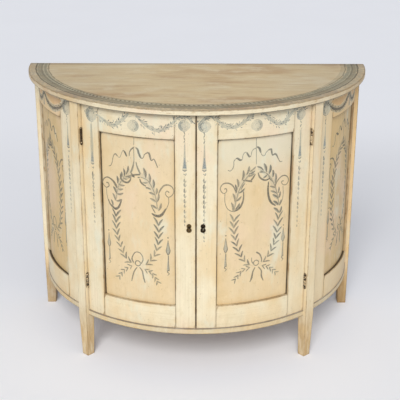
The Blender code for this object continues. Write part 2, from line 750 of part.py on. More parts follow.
def door(word, side, axis):
    """A hinged curved door: frame, panel, hinge leaves and keyplate."""
    names = {
        "near_stile": f"{word}_door_meeting_stile",
        "far_stile": f"{word}_door_hinge_stile",
        "top_rail": f"{word}_door_top_rail",
        "bottom_rail": f"{word}_door_bottom_rail",
        "panel": f"{word}_door_panel",
    }
    meeting, hanging, top_rail, bottom_rail, panel = framed_panel(
        names,
        side,
        DOOR_FACE_RADIUS,
        (MEETING_PLANE, HINGE_PLANE),
        (MEETING_STILE_WIDTH, HINGE_STILE_WIDTH),
        (DOOR_BOTTOM, DOOR_TOP),
    )
    for place, low in zip(HINGE_PLACES, HINGE_LOWS):
        carve(hanging, leaf_pocket(side, low, toward_post=False))
        leaf = hinge_leaf(f"{word}_{place}_hinge_door_leaf", side, low, toward_post=False)
        dress(leaf, BLACK_IRON, axis)
    block_width = LOCK_WIDTH if word == "right" else STRIKE_WIDTH
    carve(meeting, lock_block("housing", side, block_width, JOINT_GAP))
    if word == "right":
        carve(meeting, keyhole_cutter(side, DOOR_INNER_RADIUS - OVERRUN))
    dress(keyplate(f"{word}_door_keyplate", side), OLD_BRASS, axis)
    for piece in (meeting, hanging, top_rail, bottom_rail):
        dress(piece, CREAM_PAINT, axis)
    dress(panel, PEACH_PAINT, axis)


def post_hinge_parts(word, side):
    for place, low in zip(HINGE_PLACES, HINGE_LOWS):
        leaf = hinge_leaf(f"{word}_{place}_hinge_post_leaf", side, low, toward_post=True)
        dress(leaf, BLACK_IRON)
        hinge_pin(f"{word}_{place}_hinge_pin", side, low)


def front_top_rail():
    """Curved rail under the top that the doors close against, with a hole for the surface bolt."""
    inset = HALF_POST - STOP_RAIL_END_INSET
    planes = ((-FRONT_POST_AZIMUTH, -inset), (FRONT_POST_AZIMUTH, inset))
    radii = (STOP_RAIL_OUTER_RADIUS - STOP_RAIL_THICKNESS, STOP_RAIL_OUTER_RADIUS)
    heights = (STOP_RAIL_UNDERSIDE, TOP_UNDERSIDE - JOINT_GAP)
    piece = band("front_top_rail", radii, planes, heights)
    hole_top = rod_tip() + BOLT_TRAVEL + OVERRUN
    hole_heights = (STOP_RAIL_UNDERSIDE - OVERRUN, hole_top)
    carve(piece, box("bolt_hole", *rod_square(BOLT_HOLE_CLEARANCE), hole_heights, bolt_frame()))
    return dress(piece, BARE_PINE)


def back_rail(name, low, high, size):
    """Straight rail along the inside of the back boards."""
    half = BACK_POST_INNER - JOINT_GAP
    near = -BACK_BOARD_FRONT - JOINT_GAP
    return dress(box(name, (-half, half), (near - size, near), (low, high)), BARE_PINE)


def shelf():
    outline = half_round(SHELF_FRONT_RADIUS, SIDE_INNER_RADIUS - JOINT_GAP, BACK_BOARD_FRONT + JOINT_GAP)
    piece = prism("shelf", outline, SHELF_UNDERSIDE, SHELF_SURFACE)
    for side in SIDES.values():
        across = (side * (BACK_POST_INNER - JOINT_GAP), side * (BACK_POST_OUTER + OVERRUN))
        along = (-BACK_POST_DEPTH - JOINT_GAP, OVERRUN)
        heights = (SHELF_UNDERSIDE - OVERRUN, SHELF_SURFACE + OVERRUN)
        carve(piece, box("post_notch", across, along, heights))
    return dress(piece, BARE_PINE)


def side_cleat(word, side):
    """Curved batten on the side frame's inner face that carries the shelf."""
    outer = SIDE_INNER_RADIUS - JOINT_GAP
    planes = (POST_SIDE_PLANE, BACK_POST_PLANE)
    heights = (CLEAT_TOP - CLEAT_SIZE, CLEAT_TOP)
    piece = band(f"{word}_shelf_cleat", (outer - CLEAT_SIZE, outer), planes, heights, side)
    return dress(piece, BARE_PINE)


def back_boards():
    """Upright boards between the back posts."""
    half = BACK_POST_INNER - JOINT_GAP
    pitch = (2 * half + BACK_BOARD_SPACE) / BACK_BOARD_COUNT
    for number in range(BACK_BOARD_COUNT):
        start = -half + number * pitch
        across = (start, start + pitch - BACK_BOARD_SPACE)
        depths = (-BACK_BOARD_FRONT, -BACK_BOARD_INSET)
        heights = (LEG_HEIGHT, TOP_UNDERSIDE - JOINT_GAP)
        dress(box(f"back_board_{number + 1}", across, depths, heights), BARE_PINE)


def carcass():
    top_board()
    bottom_board()
    front_top_rail()
    top_height = TOP_UNDERSIDE - JOINT_GAP
    back_rail("back_top_rail", STOP_RAIL_UNDERSIDE, top_height, STOP_RAIL_THICKNESS)
    back_rail("back_shelf_cleat", CLEAT_TOP - CLEAT_SIZE, CLEAT_TOP, CLEAT_SIZE)
    shelf()
    back_boards()
    for word, side in SIDES.items():
        front_post(f"{word}_front_post", side)
        back_post(f"{word}_back_post", side)
        side_frame(word, side)
        side_cleat(word, side)
        post_hinge_parts(word, side)


def doors():
    for word, side in SIDES.items():
        axis = joint_empty(f"{word}_door_axis", pin_place(side))
        door(word, side, axis)
        if word == "right":
            dress(lock_case(), BLACK_IRON, axis)
            place = PLAN_CENTRE + Vector((0, sum(bolt_depths(0)) / 2, sum(bolt_heights(0)) / 2))
            dress(lock_bolt(), BLACK_IRON, joint_empty("lock_bolt_axis", place, axis))
        else:
            dress(lock_strike(), BLACK_IRON, axis)
            dress(bolt_plate(), BLACK_IRON, axis)
            place = PLAN_CENTRE + bolt_frame() @ Vector((0, sum(rod_depths()) / 2, 0))
            dress(bolt_rod(), BLACK_IRON, joint_empty("bolt_rod_axis", place, axis))


def main():
    clear_scene()
    carcass()
    doors()


main()
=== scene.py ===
import math
import random

import bmesh
import bpy
import numpy as np
from mathutils import Color, Matrix, Vector, noise


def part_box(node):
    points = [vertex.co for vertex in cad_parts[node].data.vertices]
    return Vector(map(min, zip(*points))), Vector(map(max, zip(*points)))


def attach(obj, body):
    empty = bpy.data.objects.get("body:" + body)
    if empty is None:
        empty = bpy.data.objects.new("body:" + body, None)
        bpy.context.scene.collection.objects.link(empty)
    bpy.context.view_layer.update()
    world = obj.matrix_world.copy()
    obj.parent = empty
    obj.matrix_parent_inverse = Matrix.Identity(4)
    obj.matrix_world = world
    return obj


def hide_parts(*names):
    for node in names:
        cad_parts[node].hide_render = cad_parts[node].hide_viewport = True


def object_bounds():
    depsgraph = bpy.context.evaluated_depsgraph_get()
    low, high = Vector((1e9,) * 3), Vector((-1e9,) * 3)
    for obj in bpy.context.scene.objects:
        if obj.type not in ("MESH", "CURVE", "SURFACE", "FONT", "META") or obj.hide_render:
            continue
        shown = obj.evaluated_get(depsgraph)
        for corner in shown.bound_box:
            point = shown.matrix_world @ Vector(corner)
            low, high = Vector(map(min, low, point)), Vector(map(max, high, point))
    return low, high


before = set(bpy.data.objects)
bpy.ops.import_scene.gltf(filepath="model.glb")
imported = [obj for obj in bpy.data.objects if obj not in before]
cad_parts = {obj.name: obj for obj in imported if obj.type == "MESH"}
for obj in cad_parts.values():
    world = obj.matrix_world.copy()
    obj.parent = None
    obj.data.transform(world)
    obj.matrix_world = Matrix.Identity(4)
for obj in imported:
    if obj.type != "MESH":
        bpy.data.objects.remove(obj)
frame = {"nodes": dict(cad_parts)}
CAD_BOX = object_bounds()

bl_info = {
    "name": "Painted demilune cabinet",
    "version": (1, 0, 0),
    "blender": (4, 5, 0),
    "location": "View3D > Sidebar > Demilune",
    "description": "Worn milk paint, brushed ornament and old ironwork for a half-round cupboard",
    "category": "Object",
}

MM = 0.001
BACK = CAD_BOX[1].y
SIDES = {"left": -1, "right": 1}

# How finely boards are divided: their columns and rows, their corners and rounded ends in shares of a quarter
# turn, the rings across their end faces, and the half-round boards' curve, back and edge
COLUMN = 6 * MM
ROW = 12 * MM
PLACES_THROUGH = 7
CORNER_TURNS = (0.25, 0.5, 0.75)
ROUND_TURNS = (0.0, 0.3, 0.6, 0.85, 1.0)
CAP_INSETS = (3 * MM, 7 * MM)
PLACES_ALONG_CURVE, PLACES_ALONG_BACK, ROWS_OF_EDGE = 241, 61, 4

# The smallest corner, the distance at which two points are one, and the angle from which an edge is sharp
LEAST_CORNER = 0.02 * MM
WELD = 0.01 * MM
SHARP = math.radians(40)

# How the solids are read: how near counts as the same place, where a post's ends and knee are looked for, how
# far past a front post the base's side starts, in radians, and how level an upper or a flat face is
NEAR = 0.3 * MM
POST_END = 2 * MM
KNEE_LOW, KNEE_HIGH = 100 * MM, 200 * MM
PAST_POST = 0.1
FACES_UP, FACES_FLAT = 0.75, 0.9

# Small sizes of the woodwork: a panel's thickness and worn arris, how far the top's face lies below the
# solid's so that its paint has room, how uneven a curved edge is, the room about let-in iron, and the keyhole's
# shaft, which lies lower than its plate's middle and behind it by a share of its depth
PANEL_DEPTH = 7 * MM
PANEL_ARRIS = 0.3 * MM
TOP_LOWERED = 0.3 * MM
EDGE_WANDER = 0.35 * MM
IRON_ROOM = 0.3 * MM
KEYHOLE_WIDTH, KEYHOLE_DEPTH, KEYHOLE_HEIGHT = 5.2 * MM, 40 * MM, 13 * MM
KEYHOLE_DROP = 1 * MM
KEYHOLE_SHIFT = 0.3

# Dirt and painted shade: their depth on the wall of a panel's recess, the undarkened strip in front of it, and
# how much less far the dark line along a panel's frame reaches at its foot and how much farther under its top
# rail, where it paints the rail's shadow
WALL_SHADE_AND_DIRT = 3 * MM
UNDARKENED_WALL = 3 * MM
LOW_LIGHT = 1.6 * MM
RAIL_SHADE = 2.6 * MM

# Brushwork, in millimetres: the step along a stroke, the pitch of a branch's leaves and of a swag's dabs, and
# the share of paint left at a stroke's ends. The border's radius is in metres
STROKE_STEP = 2.5
LEAF_PITCH, SPRIG_PITCH, DAB_PITCH = 20.5, 14, 2.2
FADED_END = 0.25
BORDER_RADIUS = 505 * MM
# Where each drawing's random wavering starts
SEEDS = {"door_frame": 11, "door_panel": 21, "side_frame": 31, "side_panel": 41, "top_border": 51,
         "side_rail": 61}

# Sockets of Blender's Mix node when it mixes colours
MIX_FACTOR, MIX_A, MIX_B, MIX_OUT = 0, 6, 7, 2


def linear(code):
    """An sRGB hex colour as linear RGB."""
    parts = [int(code[place:place + 2], 16) / 255 for place in (1, 3, 5)]
    return tuple(part / 12.92 if part <= 0.04045 else ((part + 0.055) / 1.055) ** 2.4 for part in parts)


def colour_setting(name, code, description):
    return bpy.props.FloatVectorProperty(
        name=name, description=description, default=linear(code), subtype="COLOR", min=0, max=1
    )


def length_setting(name, millimetres, description):
    return bpy.props.FloatProperty(
        name=name, description=description, default=millimetres * MM, unit="LENGTH", min=0
    )


class CabinetPaint(bpy.types.PropertyGroup):
    """Colours of the old paint, the ornament, the bare wood and the metal."""

    frame: colour_setting("Frame paint", "#ecdebc", "Cream milk paint on posts, stiles and rails")
    panel: colour_setting("Panel paint", "#e5cda2", "Peach milk paint on the panels")
    # Painted shade with dirt: the side panels, which turn away from the light, are painted darker
    side_panel: colour_setting("Side panel paint", "#dabd88", "The same paint, darkened at the sides")
    # Painted shade: this darker, yellower cream lies on the frames' right side, the right back post and back
    # stile, and the side rails under the top
    sunned: colour_setting("Sunned paint", "#e9cc9b", "The cream where light has yellowed it most")
    # Painted light: this paler cream lies on the left back post, on the lit side
    washed: colour_setting("Washed paint", "#e9e0c6", "The cream where it has been scrubbed pale")
    scuffed: colour_setting("Scuffed paint", "#dfd3b3", "The cream along the base, greyed by brooms and mops")
    ochre: colour_setting("Ochre bloom", "#e6c284", "Warm patches where the paint has yellowed")
    rosy: colour_setting("Rosy bloom", "#efd2b2", "Patches where an older pink coat shows")
    bloom: colour_setting("Grey bloom", "#e2e3cd", "Cool patches left by old washes")
    soil: colour_setting("Soil", "#b48d53", "Wood and dirt that show on the feet and the worn edges")
    top: colour_setting("Top paint", "#e6ce9f", "Rubbed and waxed paint of the top")
    top_streak: colour_setting("Top streaks", "#bf9566", "Wood that shows through the rubbed top")
    top_pale: colour_setting("Top pale streaks", "#f0dfb9", "Thicker paint left along the top's grain")
    rim: colour_setting("Top's rim", "#a89b84", "Handled paint between the border and the edge")
    # Glaze also paints shade low down on the back feet
    glaze: colour_setting("Glaze", "#6b4a22", "Brown dirt and old varnish near the joints")
    # Grime also paints shade: on recess walls, rails' upper and lower faces, the top's back edge and the foot
    # of its edge
    grime: colour_setting("Grime", "#2a1d0c", "Black dirt in the joints")
    ornament_pale: colour_setting("Ornament, pale", "#a6a892", "Thinned grey-green of the ornament")
    ornament_dark: colour_setting("Ornament, dark", "#2c2e29", "Loaded brush of the ornament")
    ornament_cool: colour_setting("Ornament, cool", "#587581", "Blue in the tassels and rosettes")
    stain: colour_setting("Stain", "#e8b270", "Rust-coloured stain under the side swags")
    pine: colour_setting("Aged pine", "#a87f4f", "Bare wood inside the cupboard")
    pine_dark: colour_setting("Pine grain", "#7c5730", "Late wood in the bare boards")
    dust: colour_setting("Dust", "#cdc8c0", "Grey dust and whitewash on the outside of the bottom board")
    iron: colour_setting("Iron", "#33281b", "Rusted hinges and lock")
    rust: colour_setting("Rust", "#4a3522", "Rust on the iron")
    brass: colour_setting("Brass", "#7a6238", "Tarnished keyhole plates")
    tarnish: colour_setting("Tarnish", "#3c2f1d", "Dark tarnish on the brass")


class CabinetWear(bpy.types.PropertyGroup):
    """Sizes of the wear and of the brush marks."""

    arris: length_setting("Worn arris", 1.3, "Rounding of the edges of posts, stiles and rails")
    joint: length_setting("Joint arris", 0.5, "Rounding of the edges where rails meet stiles")
    top_arris: length_setting("Top's arris", 2.6, "Rounding of the top board's edge")
    wander: length_setting("Wander", 0.25, "How far the hand-planed faces wander")
    wander_length: length_setting("Wander length", 110, "Distance between the hollows of the faces")
    film: length_setting("Paint film", 0.06, "Height of a brush stroke above its ground")
    streak_width: length_setting("Brush streak", 5, "Width of the brush marks in the ground paint")
    streak_length: length_setting("Streak length", 160, "Length of the brush marks in the ground paint")
    blotch: length_setting("Blotch", 170, "Size of the yellowed patches")
    speck: length_setting("Speck", 1.6, "Size of the pores and fly specks")
    glaze_width: length_setting("Glaze width", 6, "How far the dirt reaches from a joint")


class CabinetStage(bpy.types.PropertyGroup):
    """Floor, light and camera."""

    floor: colour_setting("Floor", "#fafafc", "Pale studio floor")
    sky_colour: colour_setting("Sky colour", "#e5ebf8", "Even light from the pale walls")
    sky: bpy.props.FloatProperty(
        name="Sky", description="Strength of the even light", default=0.35, min=0
    )
    front: bpy.props.FloatProperty(
        name="Front lamp", description="Strength of the large soft lamp in front", default=2.05, min=0
    )
    overhead: bpy.props.FloatProperty(
        name="Overhead lamp", description="Strength of the large soft lamp above", default=0.45, min=0
    )


def settings(name):
    return getattr(bpy.context.scene, name)


def put(tree, kind, inputs=None, **options):
    """Adds a shader node. Each socket that inputs names gets a value, a colour or a node's output."""
    node = tree.nodes.new("ShaderNode" + kind)
    for name, value in options.items():
        setattr(node, name, value)
    for socket, value in (inputs or {}).items():
        if isinstance(value, bpy.types.NodeSocket):
            tree.links.new(value, node.inputs[socket])
        else:
            node.inputs[socket].default_value = (*value, 1) if isinstance(value, Color) else value
    return node


def blank_material(name):
    """A new material, its nodes, its shader, and the place on the object that its patterns follow."""
    material = bpy.data.materials.new(name)
    material.use_nodes = True
    tree = material.node_tree
    return material, tree, tree.nodes["Principled BSDF"], put(tree, "TexCoord").outputs["Object"]


def mottle(tree, place, shares, unit, detail=3.0, roughness=0.55):
    """Irregular patches of a real size: their length, width and depth are shares of a unit length."""
    scale = tuple(1 / (share * unit) for share in shares)
    mapped = put(tree, "Mapping", {"Vector": place, "Scale": scale}, vector_type="POINT").outputs[0]
    inputs = {"Vector": mapped, "Scale": 1.0, "Detail": detail, "Roughness": roughness}
    return put(tree, "TexNoise", inputs).outputs["Fac"]


def spread(tree, *spans):
    """The product of a few spans. A span is a number, a pattern, or a tuple: a pattern, the two values of it
    between which the span eases, and what it gives at them, which is 0 and 1 if they are left out."""
    product = None
    for span in spans:
        if isinstance(span, tuple):
            pattern, low, high, least, most = (*span, 0.0, 1.0)[:5]
            inputs = {"Value": pattern, "From Min": low, "From Max": high, "To Min": least, "To Max": most}
            span = put(tree, "MapRange", inputs, interpolation_type="SMOOTHSTEP").outputs["Result"]
        if product is None:
            product = span
        else:
            product = put(tree, "Math", {0: product, 1: span}, operation="MULTIPLY").outputs[0]
    return product


def coat(tree, below, above, *spans):
    """Lays one colour over another, as thickly as the product of the spans says."""
    inputs = {MIX_FACTOR: spread(tree, *spans), MIX_A: below, MIX_B: above}
    return put(tree, "Mix", inputs, data_type="RGBA").outputs[MIX_OUT]


def shaded(colour, shares):
    """A colour with each of its parts taken down or up by a share."""
    return Color([min(1, part * share) for part, share in zip(colour, shares)])


def link_look(tree, shader, looks, relief, strength, distance):
    """Joins the looks to the shader's sockets, and a relief of a real height as its bump."""
    for socket, output in looks.items():
        tree.links.new(output, shader.inputs[socket])
    bump = put(tree, "Bump", {"Strength": strength, "Distance": distance, "Height": relief})
    tree.links.new(bump.outputs[0], shader.inputs["Normal"])


def finish_paint(tree, shader, colour, streaks, pores, roughness):
    """Paint has the low relief of its brush marks and pores, and shines unevenly along the marks."""
    relief = put(tree, "Math", {0: streaks, 1: pores}, operation="ADD").outputs[0]
    rough = spread(tree, (streaks, 0.2, 0.8, roughness - 0.07, roughness + 0.07))
    link_look(tree, shader, {"Base Color": colour, "Roughness": rough}, relief, 0.16, 0.35 * MM)


# How strongly the brush streaks show in each painted ground
STREAKY = {"frame": 0.45, "panel": 0.16, "side_panel": 0.4, "sunned": 0.45, "washed": 0.45, "scuffed": 0.6}


def paint_ground(tree, place, ground, streaky):
    """Aged milk paint: brush streaks, yellowed and washed patches, pores. Gives its colour and its height."""
    paint, wear = settings("cabinet_paint"), settings("cabinet_wear")
    body = getattr(paint, ground)
    grain = put(tree, "Attribute", attribute_name="grain").outputs["Vector"]
    streaks = mottle(tree, grain, (wear.streak_length, wear.streak_width, wear.streak_width), 1, 4.0)
    clouds = mottle(tree, place, (0.22, 0.22, 0.34), wear.blotch, 5.0, 0.62)
    blotches = mottle(tree, place, (1, 1, 1.6), wear.blotch)
    washes = mottle(tree, place, (0.4, 0.4, 0.9), wear.blotch, 4.0, 0.65)
    dabs = mottle(tree, place, (8, 8, 13), wear.speck, 4.0, 0.7)
    pores = mottle(tree, place, (1, 1, 2), wear.speck, 2.0)
    nicks = mottle(tree, place, (2, 2, 3), wear.speck, 1.0)
    dark = shaded(body, (0.85, 0.81, 0.70))
    light = shaded(body, (1.1, 1.1, 1.1))
    # Each coat: its colour, the pattern it follows, where on the pattern it starts and is full, and how full
    coats = (
        (dark, streaks, 0.5, 0.74, streaky),
        (light, streaks, 0.5, 0.3, streaky),
        (dark, clouds, 0.5, 0.74, 0.4),
        (light, clouds, 0.48, 0.28, 0.6),
        (paint.ochre, blotches, 0.5, 0.7, 0.5),
        (paint.rosy, blotches, 0.48, 0.3, 0.6),
        (paint.bloom, washes, 0.54, 0.72, 0.55),
        (dark, dabs, 0.54, 0.72, 0.5),
        (light, dabs, 0.44, 0.26, 0.5),
        (paint.soil, pores, 0.68, 0.78, 0.6),
        (paint.glaze, nicks, 0.755, 0.79, 0.8),
    )
    colour = body
    for above, pattern, start, full, most in coats:
        colour = coat(tree, colour, above, (pattern, start, full, 0.0, most))
    if ground == "panel":
        sides = put(tree, "SeparateXYZ", {0: place}).outputs
        colour = coat(tree, colour, paint.bloom, (sides["Z"], 0.6, 0.74), (sides["X"], -0.02, 0.1, 0.1, 0.5))
    return colour, streaks, pores


def edge_dirt_and_shade(tree, place, colour, stain, dirt, strength, width):
    """Dirt along a board's edges: a warm stain, a brown glaze, worn spots, and a broken dark line. The dark
    line is partly painted shade where a frame overlaps a panel, and the dark grime on recess walls and on
    rails' upper and lower faces is painted shade with dirt.
    """
    paint, reach = settings("cabinet_paint"), settings("cabinet_wear").glaze_width
    edge = put(tree, "Attribute", attribute_name="edge").outputs["Fac"]
    patches = mottle(tree, place, (9, 9, 26), MM, 3.0, 0.6)
    stretches = mottle(tree, place, (70, 70, 110), MM, 3.0, 0.6)
    colour = coat(tree, colour, paint.ochre, (edge, reach * 3, 0.0), (stretches, 0.42, 0.68, 0.0, 0.9), stain)
    colour = coat(tree, colour, paint.glaze, (edge, reach, 0.0), (patches, 0.4, 0.72, 0.05, 0.6), 0.7 * stain)
    colour = coat(tree, colour, paint.soil, (edge, 2.4 * MM, 0.6 * MM), (patches, 0.54, 0.66, 0.0, 0.7))
    # The broken dark line: dirt in joints, and painted shade along a panel's edge under its frame
    colour = coat(tree, colour, getattr(paint, dirt), (edge, width, 0.3 * MM),
                  (stretches, 0.36, 0.6, 0.6, 1.0), strength)
    # Painted shade with dirt: dark grime on the walls of recesses and on rails' upper and lower faces, whose
    # edge values lie below 0
    return coat(tree, colour, paint.grime, (edge, -0.3 * MM, -WALL_SHADE_AND_DIRT), (patches, 0.3, 0.6, 0.97, 0.85))


def foot_soil_and_shade(tree, place, colour):
    """Dirt and bare wood that the feet have gained from two centuries of floors, and a darker glaze low down at
    the back, partly painted shade on the back feet.
    """
    paint = settings("cabinet_paint")
    sides = put(tree, "SeparateXYZ", {0: place}).outputs
    patches = mottle(tree, place, (14, 14, 60), MM, 4.0, 0.65)
    colour = coat(tree, colour, paint.soil, (sides["Z"], 0.23, 0.06), (patches, 0.3, 0.7, 0.3, 0.85))
    # Darker low down towards the back: glaze colour, partly painted shade
    return coat(tree, colour, paint.glaze, (sides["Z"], 0.17, 0.1), (sides["Y"], 0.12, 0.22, 0.0, 0.3))


def milk_paint(name, ground, stain, dirt, strength, width):
    """Milk paint brushed on pine and worn for two centuries: chalky, warm, dirty in its corners, with painted
    shade in its recesses.

    The frame cream turns darker and yellower towards the right: painted shade for the side that gets less
    light."""
    material, tree, shader, place = blank_material(name)
    colour, streaks, pores = paint_ground(tree, place, ground, STREAKY[ground])
    if ground == "frame":
        along = put(tree, "SeparateXYZ", {0: place}).outputs["X"]
        # Painted shade: the right side of the frames darker and yellower
        colour = coat(tree, colour, settings("cabinet_paint").sunned, (along, 0.27, 0.5, 0.0, 0.75))
    colour = foot_soil_and_shade(tree, place, colour)
    colour = edge_dirt_and_shade(tree, place, colour, stain, dirt, strength, width)
    finish_paint(tree, shader, colour, streaks, pores, 0.6)
    return material


def top_ground(tree, place):
    """Colour of the rubbed top: cloudy worn paint, faint streaks of wood along its boards, soiled rim, and
    grime towards the back edge that is partly painted shade.
    """
    paint = settings("cabinet_paint")
    broad = mottle(tree, place, (300, 90, 90), MM, 4.0, 0.6)
    fine = mottle(tree, place, (130, 6, 6), MM, 5.0, 0.65)
    patches = mottle(tree, place, (80, 50, 50), MM, 5.0, 0.65)
    pores = mottle(tree, place, (4, 2, 2), MM, 2.0)
    specks = mottle(tree, place, (12, 12, 12), MM, 5.0, 0.7)
    sides = put(tree, "SeparateXYZ", {0: place}).outputs
    along = put(tree, "Math", {0: sides["X"]}, operation="ABSOLUTE").outputs[0]
    wall = put(tree, "Math", {0: BACK, 1: sides["Y"]}, operation="SUBTRACT").outputs[0]
    middle = (0, BACK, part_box("top")[1].z)
    reach = put(tree, "VectorMath", {0: place, 1: middle}, operation="DISTANCE").outputs["Value"]
    colour = coat(tree, paint.top, paint.top_streak, (broad, 0.48, 0.7, 0.0, 0.7))
    colour = coat(tree, colour, paint.top_pale, (patches, 0.47, 0.68, 0.0, 0.7))
    colour = coat(tree, colour, paint.top_pale, (broad, 0.46, 0.3, 0.0, 0.7))
    colour = coat(tree, colour, paint.top_streak, (fine, 0.48, 0.7, 0.0, 0.6))
    colour = coat(tree, colour, paint.soil, (pores, 0.64, 0.76, 0.0, 0.6))
    colour = coat(tree, colour, paint.rim, (reach, 0.518, 0.53), (specks, 0.38, 0.62, 0.1, 0.75))
    # Darker towards both ends of the top
    colour = coat(tree, colour, paint.rim, (along, 0.14, 0.42, 0.0, 0.2))
    # Darker towards the back edge: grime colour, partly painted shade
    colour = coat(tree, colour, paint.grime, (wall, 40 * MM, 1 * MM, 0.0, 0.3))
    colour = coat(tree, colour, paint.grime, (wall, 7 * MM, 1 * MM, 0.0, 0.6))
    return colour, fine, pores


def rubbed_top_paint(name):
    """Paint rubbed back to the wood and waxed, so it has a low sheen and its grain shows."""
    material, tree, shader, place = blank_material(name)
    colour, fine, pores = top_ground(tree, place)
    colour = edge_dirt_and_shade(tree, place, colour, 0.3, "glaze", 0.4, 2.4 * MM)
    finish_paint(tree, shader, colour, fine, pores, 0.42)
    return material


def chipped_edge_paint(name):
    """The cream on the top's edge: handled until it is warm and thin at the ends, chipped to dark wood."""
    paint = settings("cabinet_paint")
    material, tree, shader, place = blank_material(name)
    low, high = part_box("top")
    edge = put(tree, "Attribute", attribute_name="edge").outputs["Fac"]
    sides = put(tree, "SeparateXYZ", {0: place}).outputs
    along = put(tree, "Math", {0: sides["X"]}, operation="ABSOLUTE").outputs[0]
    warm = mottle(tree, place, (90, 90, 200), MM, 3.0, 0.6)
    worn = mottle(tree, place, (26, 26, 7), MM, 4.0, 0.65)
    chips = mottle(tree, place, (20, 20, 4), MM, 4.0, 0.7)
    colour, streaks, pores = paint_ground(tree, place, "frame", 0.3)
    colour = coat(tree, colour, paint.soil, (along, 0.2, 0.5), (warm, 0.3, 0.6, 0.3, 0.8), 0.75)
    colour = coat(tree, colour, paint.soil, (worn, 0.54, 0.72, 0.0, 0.5))
    colour = coat(tree, colour, paint.glaze, (edge, 6 * MM, 1 * MM, 0.15, 1.0), (chips, 0.56, 0.66, 0.0, 0.7))
    rubbed_line = (sides["Z"], high.z - 4 * MM, high.z - 1.6 * MM)
    colour = coat(tree, colour, paint.glaze, rubbed_line, (worn, 0.35, 0.6, 0.2, 0.65))
    # A dark band along the foot of the edge, in the grime colour: painted shade where the edge meets the frieze
    colour = coat(tree, colour, paint.grime, (sides["Z"], low.z + 3.4 * MM, low.z + 1 * MM, 0.0, 0.85))
    finish_paint(tree, shader, colour, streaks, pores, 0.55)
    return material


def distemper(name, ground):
    """Thin grey-blue distemper: chalky, and so faded that the paint below shows through it.

    Each stroke says how dark its tone is, how blue, or below 0 how rusty, and how thickly it covers."""
    paint = settings("cabinet_paint")
    material, tree, shader, place = blank_material(name)
    if ground == "top":
        colour, streaks, pores = top_ground(tree, place)
    else:
        colour, streaks, pores = paint_ground(tree, place, ground, STREAKY[ground])
    tone, cool, cover = (
        put(tree, "Attribute", attribute_name=label).outputs["Fac"] for label in ("tone", "cool", "cover")
    )
    rubbed = mottle(tree, place, (2.2, 2.2, 3.5), MM, 3.0, 0.65)
    faded = mottle(tree, place, (40, 40, 60), MM, 2.0)
    ink = coat(tree, paint.ornament_pale, paint.ornament_dark, tone)
    ink = coat(tree, ink, paint.ornament_cool, cool, 0.8)
    ink = coat(tree, ink, paint.stain, (cool, -0.2, -1.0))
    colour = coat(tree, colour, ink, (rubbed, 0.38, 0.68, 1.0, 0.62), (faded, 0.3, 0.7, 1.0, 0.9), cover)
    finish_paint(tree, shader, colour, streaks, pores, 0.62)
    return material


def aged_pine(name, ring_size, dust):
    """Bare pine gone brown in the dark: late wood in lines along the board, and no sheen. Dust greys it."""
    paint = settings("cabinet_paint")
    material, tree, shader, place = blank_material(name)
    rings = mottle(tree, place, ring_size, MM, 4.0, 0.6)
    stains = mottle(tree, place, (150, 150, 150), MM)
    colour = coat(tree, paint.pine, paint.pine_dark, (rings, 0.45, 0.62))
    colour = coat(tree, colour, paint.pine_dark, (stains, 0.5, 0.75, 0.0, 0.6))
    colour = coat(tree, colour, paint.dust, (stains, 0.3, 0.6, dust, 0.6 * dust))
    finish_paint(tree, shader, colour, rings, stains, 0.72)
    return material


def old_metal(name, bright, dull, bright_roughness, dull_roughness):
    """Metal that has lost its polish: patches of rust or tarnish over what the hand keeps bright."""
    paint = settings("cabinet_paint")
    material, tree, shader, place = blank_material(name)
    patches = mottle(tree, place, (4, 4, 4), MM, 4.0, 0.65)
    dulled = spread(tree, (patches, 0.38, 0.62))
    looks = {
        "Base Color": coat(tree, getattr(paint, bright), getattr(paint, dull), dulled),
        "Roughness": spread(tree, (dulled, 0, 1, bright_roughness, dull_roughness)),
        "Metallic": spread(tree, (dulled, 0, 1, 1.0, 0.35)),
    }
    link_look(tree, shader, looks, patches, 0.4, 0.3 * MM)
    return material


def painted_iron(name, bare):
    """Hinges that were painted with the cabinet, and chipped back to black iron wherever they rub."""
    paint = settings("cabinet_paint")
    material, tree, shader, place = blank_material(name)
    kept = spread(tree, (mottle(tree, place, (7, 7, 5), MM, 4.0, 0.6), bare, bare + 0.07))
    rust = mottle(tree, place, (3, 3, 3), MM)
    iron = coat(tree, paint.iron, paint.rust, (rust, 0.4, 0.65))
    handled = coat(tree, paint.frame, paint.soil, (rust, 0.35, 0.6, 0.15, 0.75))
    looks = {"Base Color": coat(tree, iron, handled, kept), "Metallic": spread(tree, (kept, 1, 0, 0.0, 0.5))}
    link_look(tree, shader, looks, kept, 0.5, 0.4 * MM)
    shader.inputs["Roughness"].default_value = 0.7
    return material


ALONG_BOARD = (300, 7, 7)
UP_BOARD = (7, 7, 300)
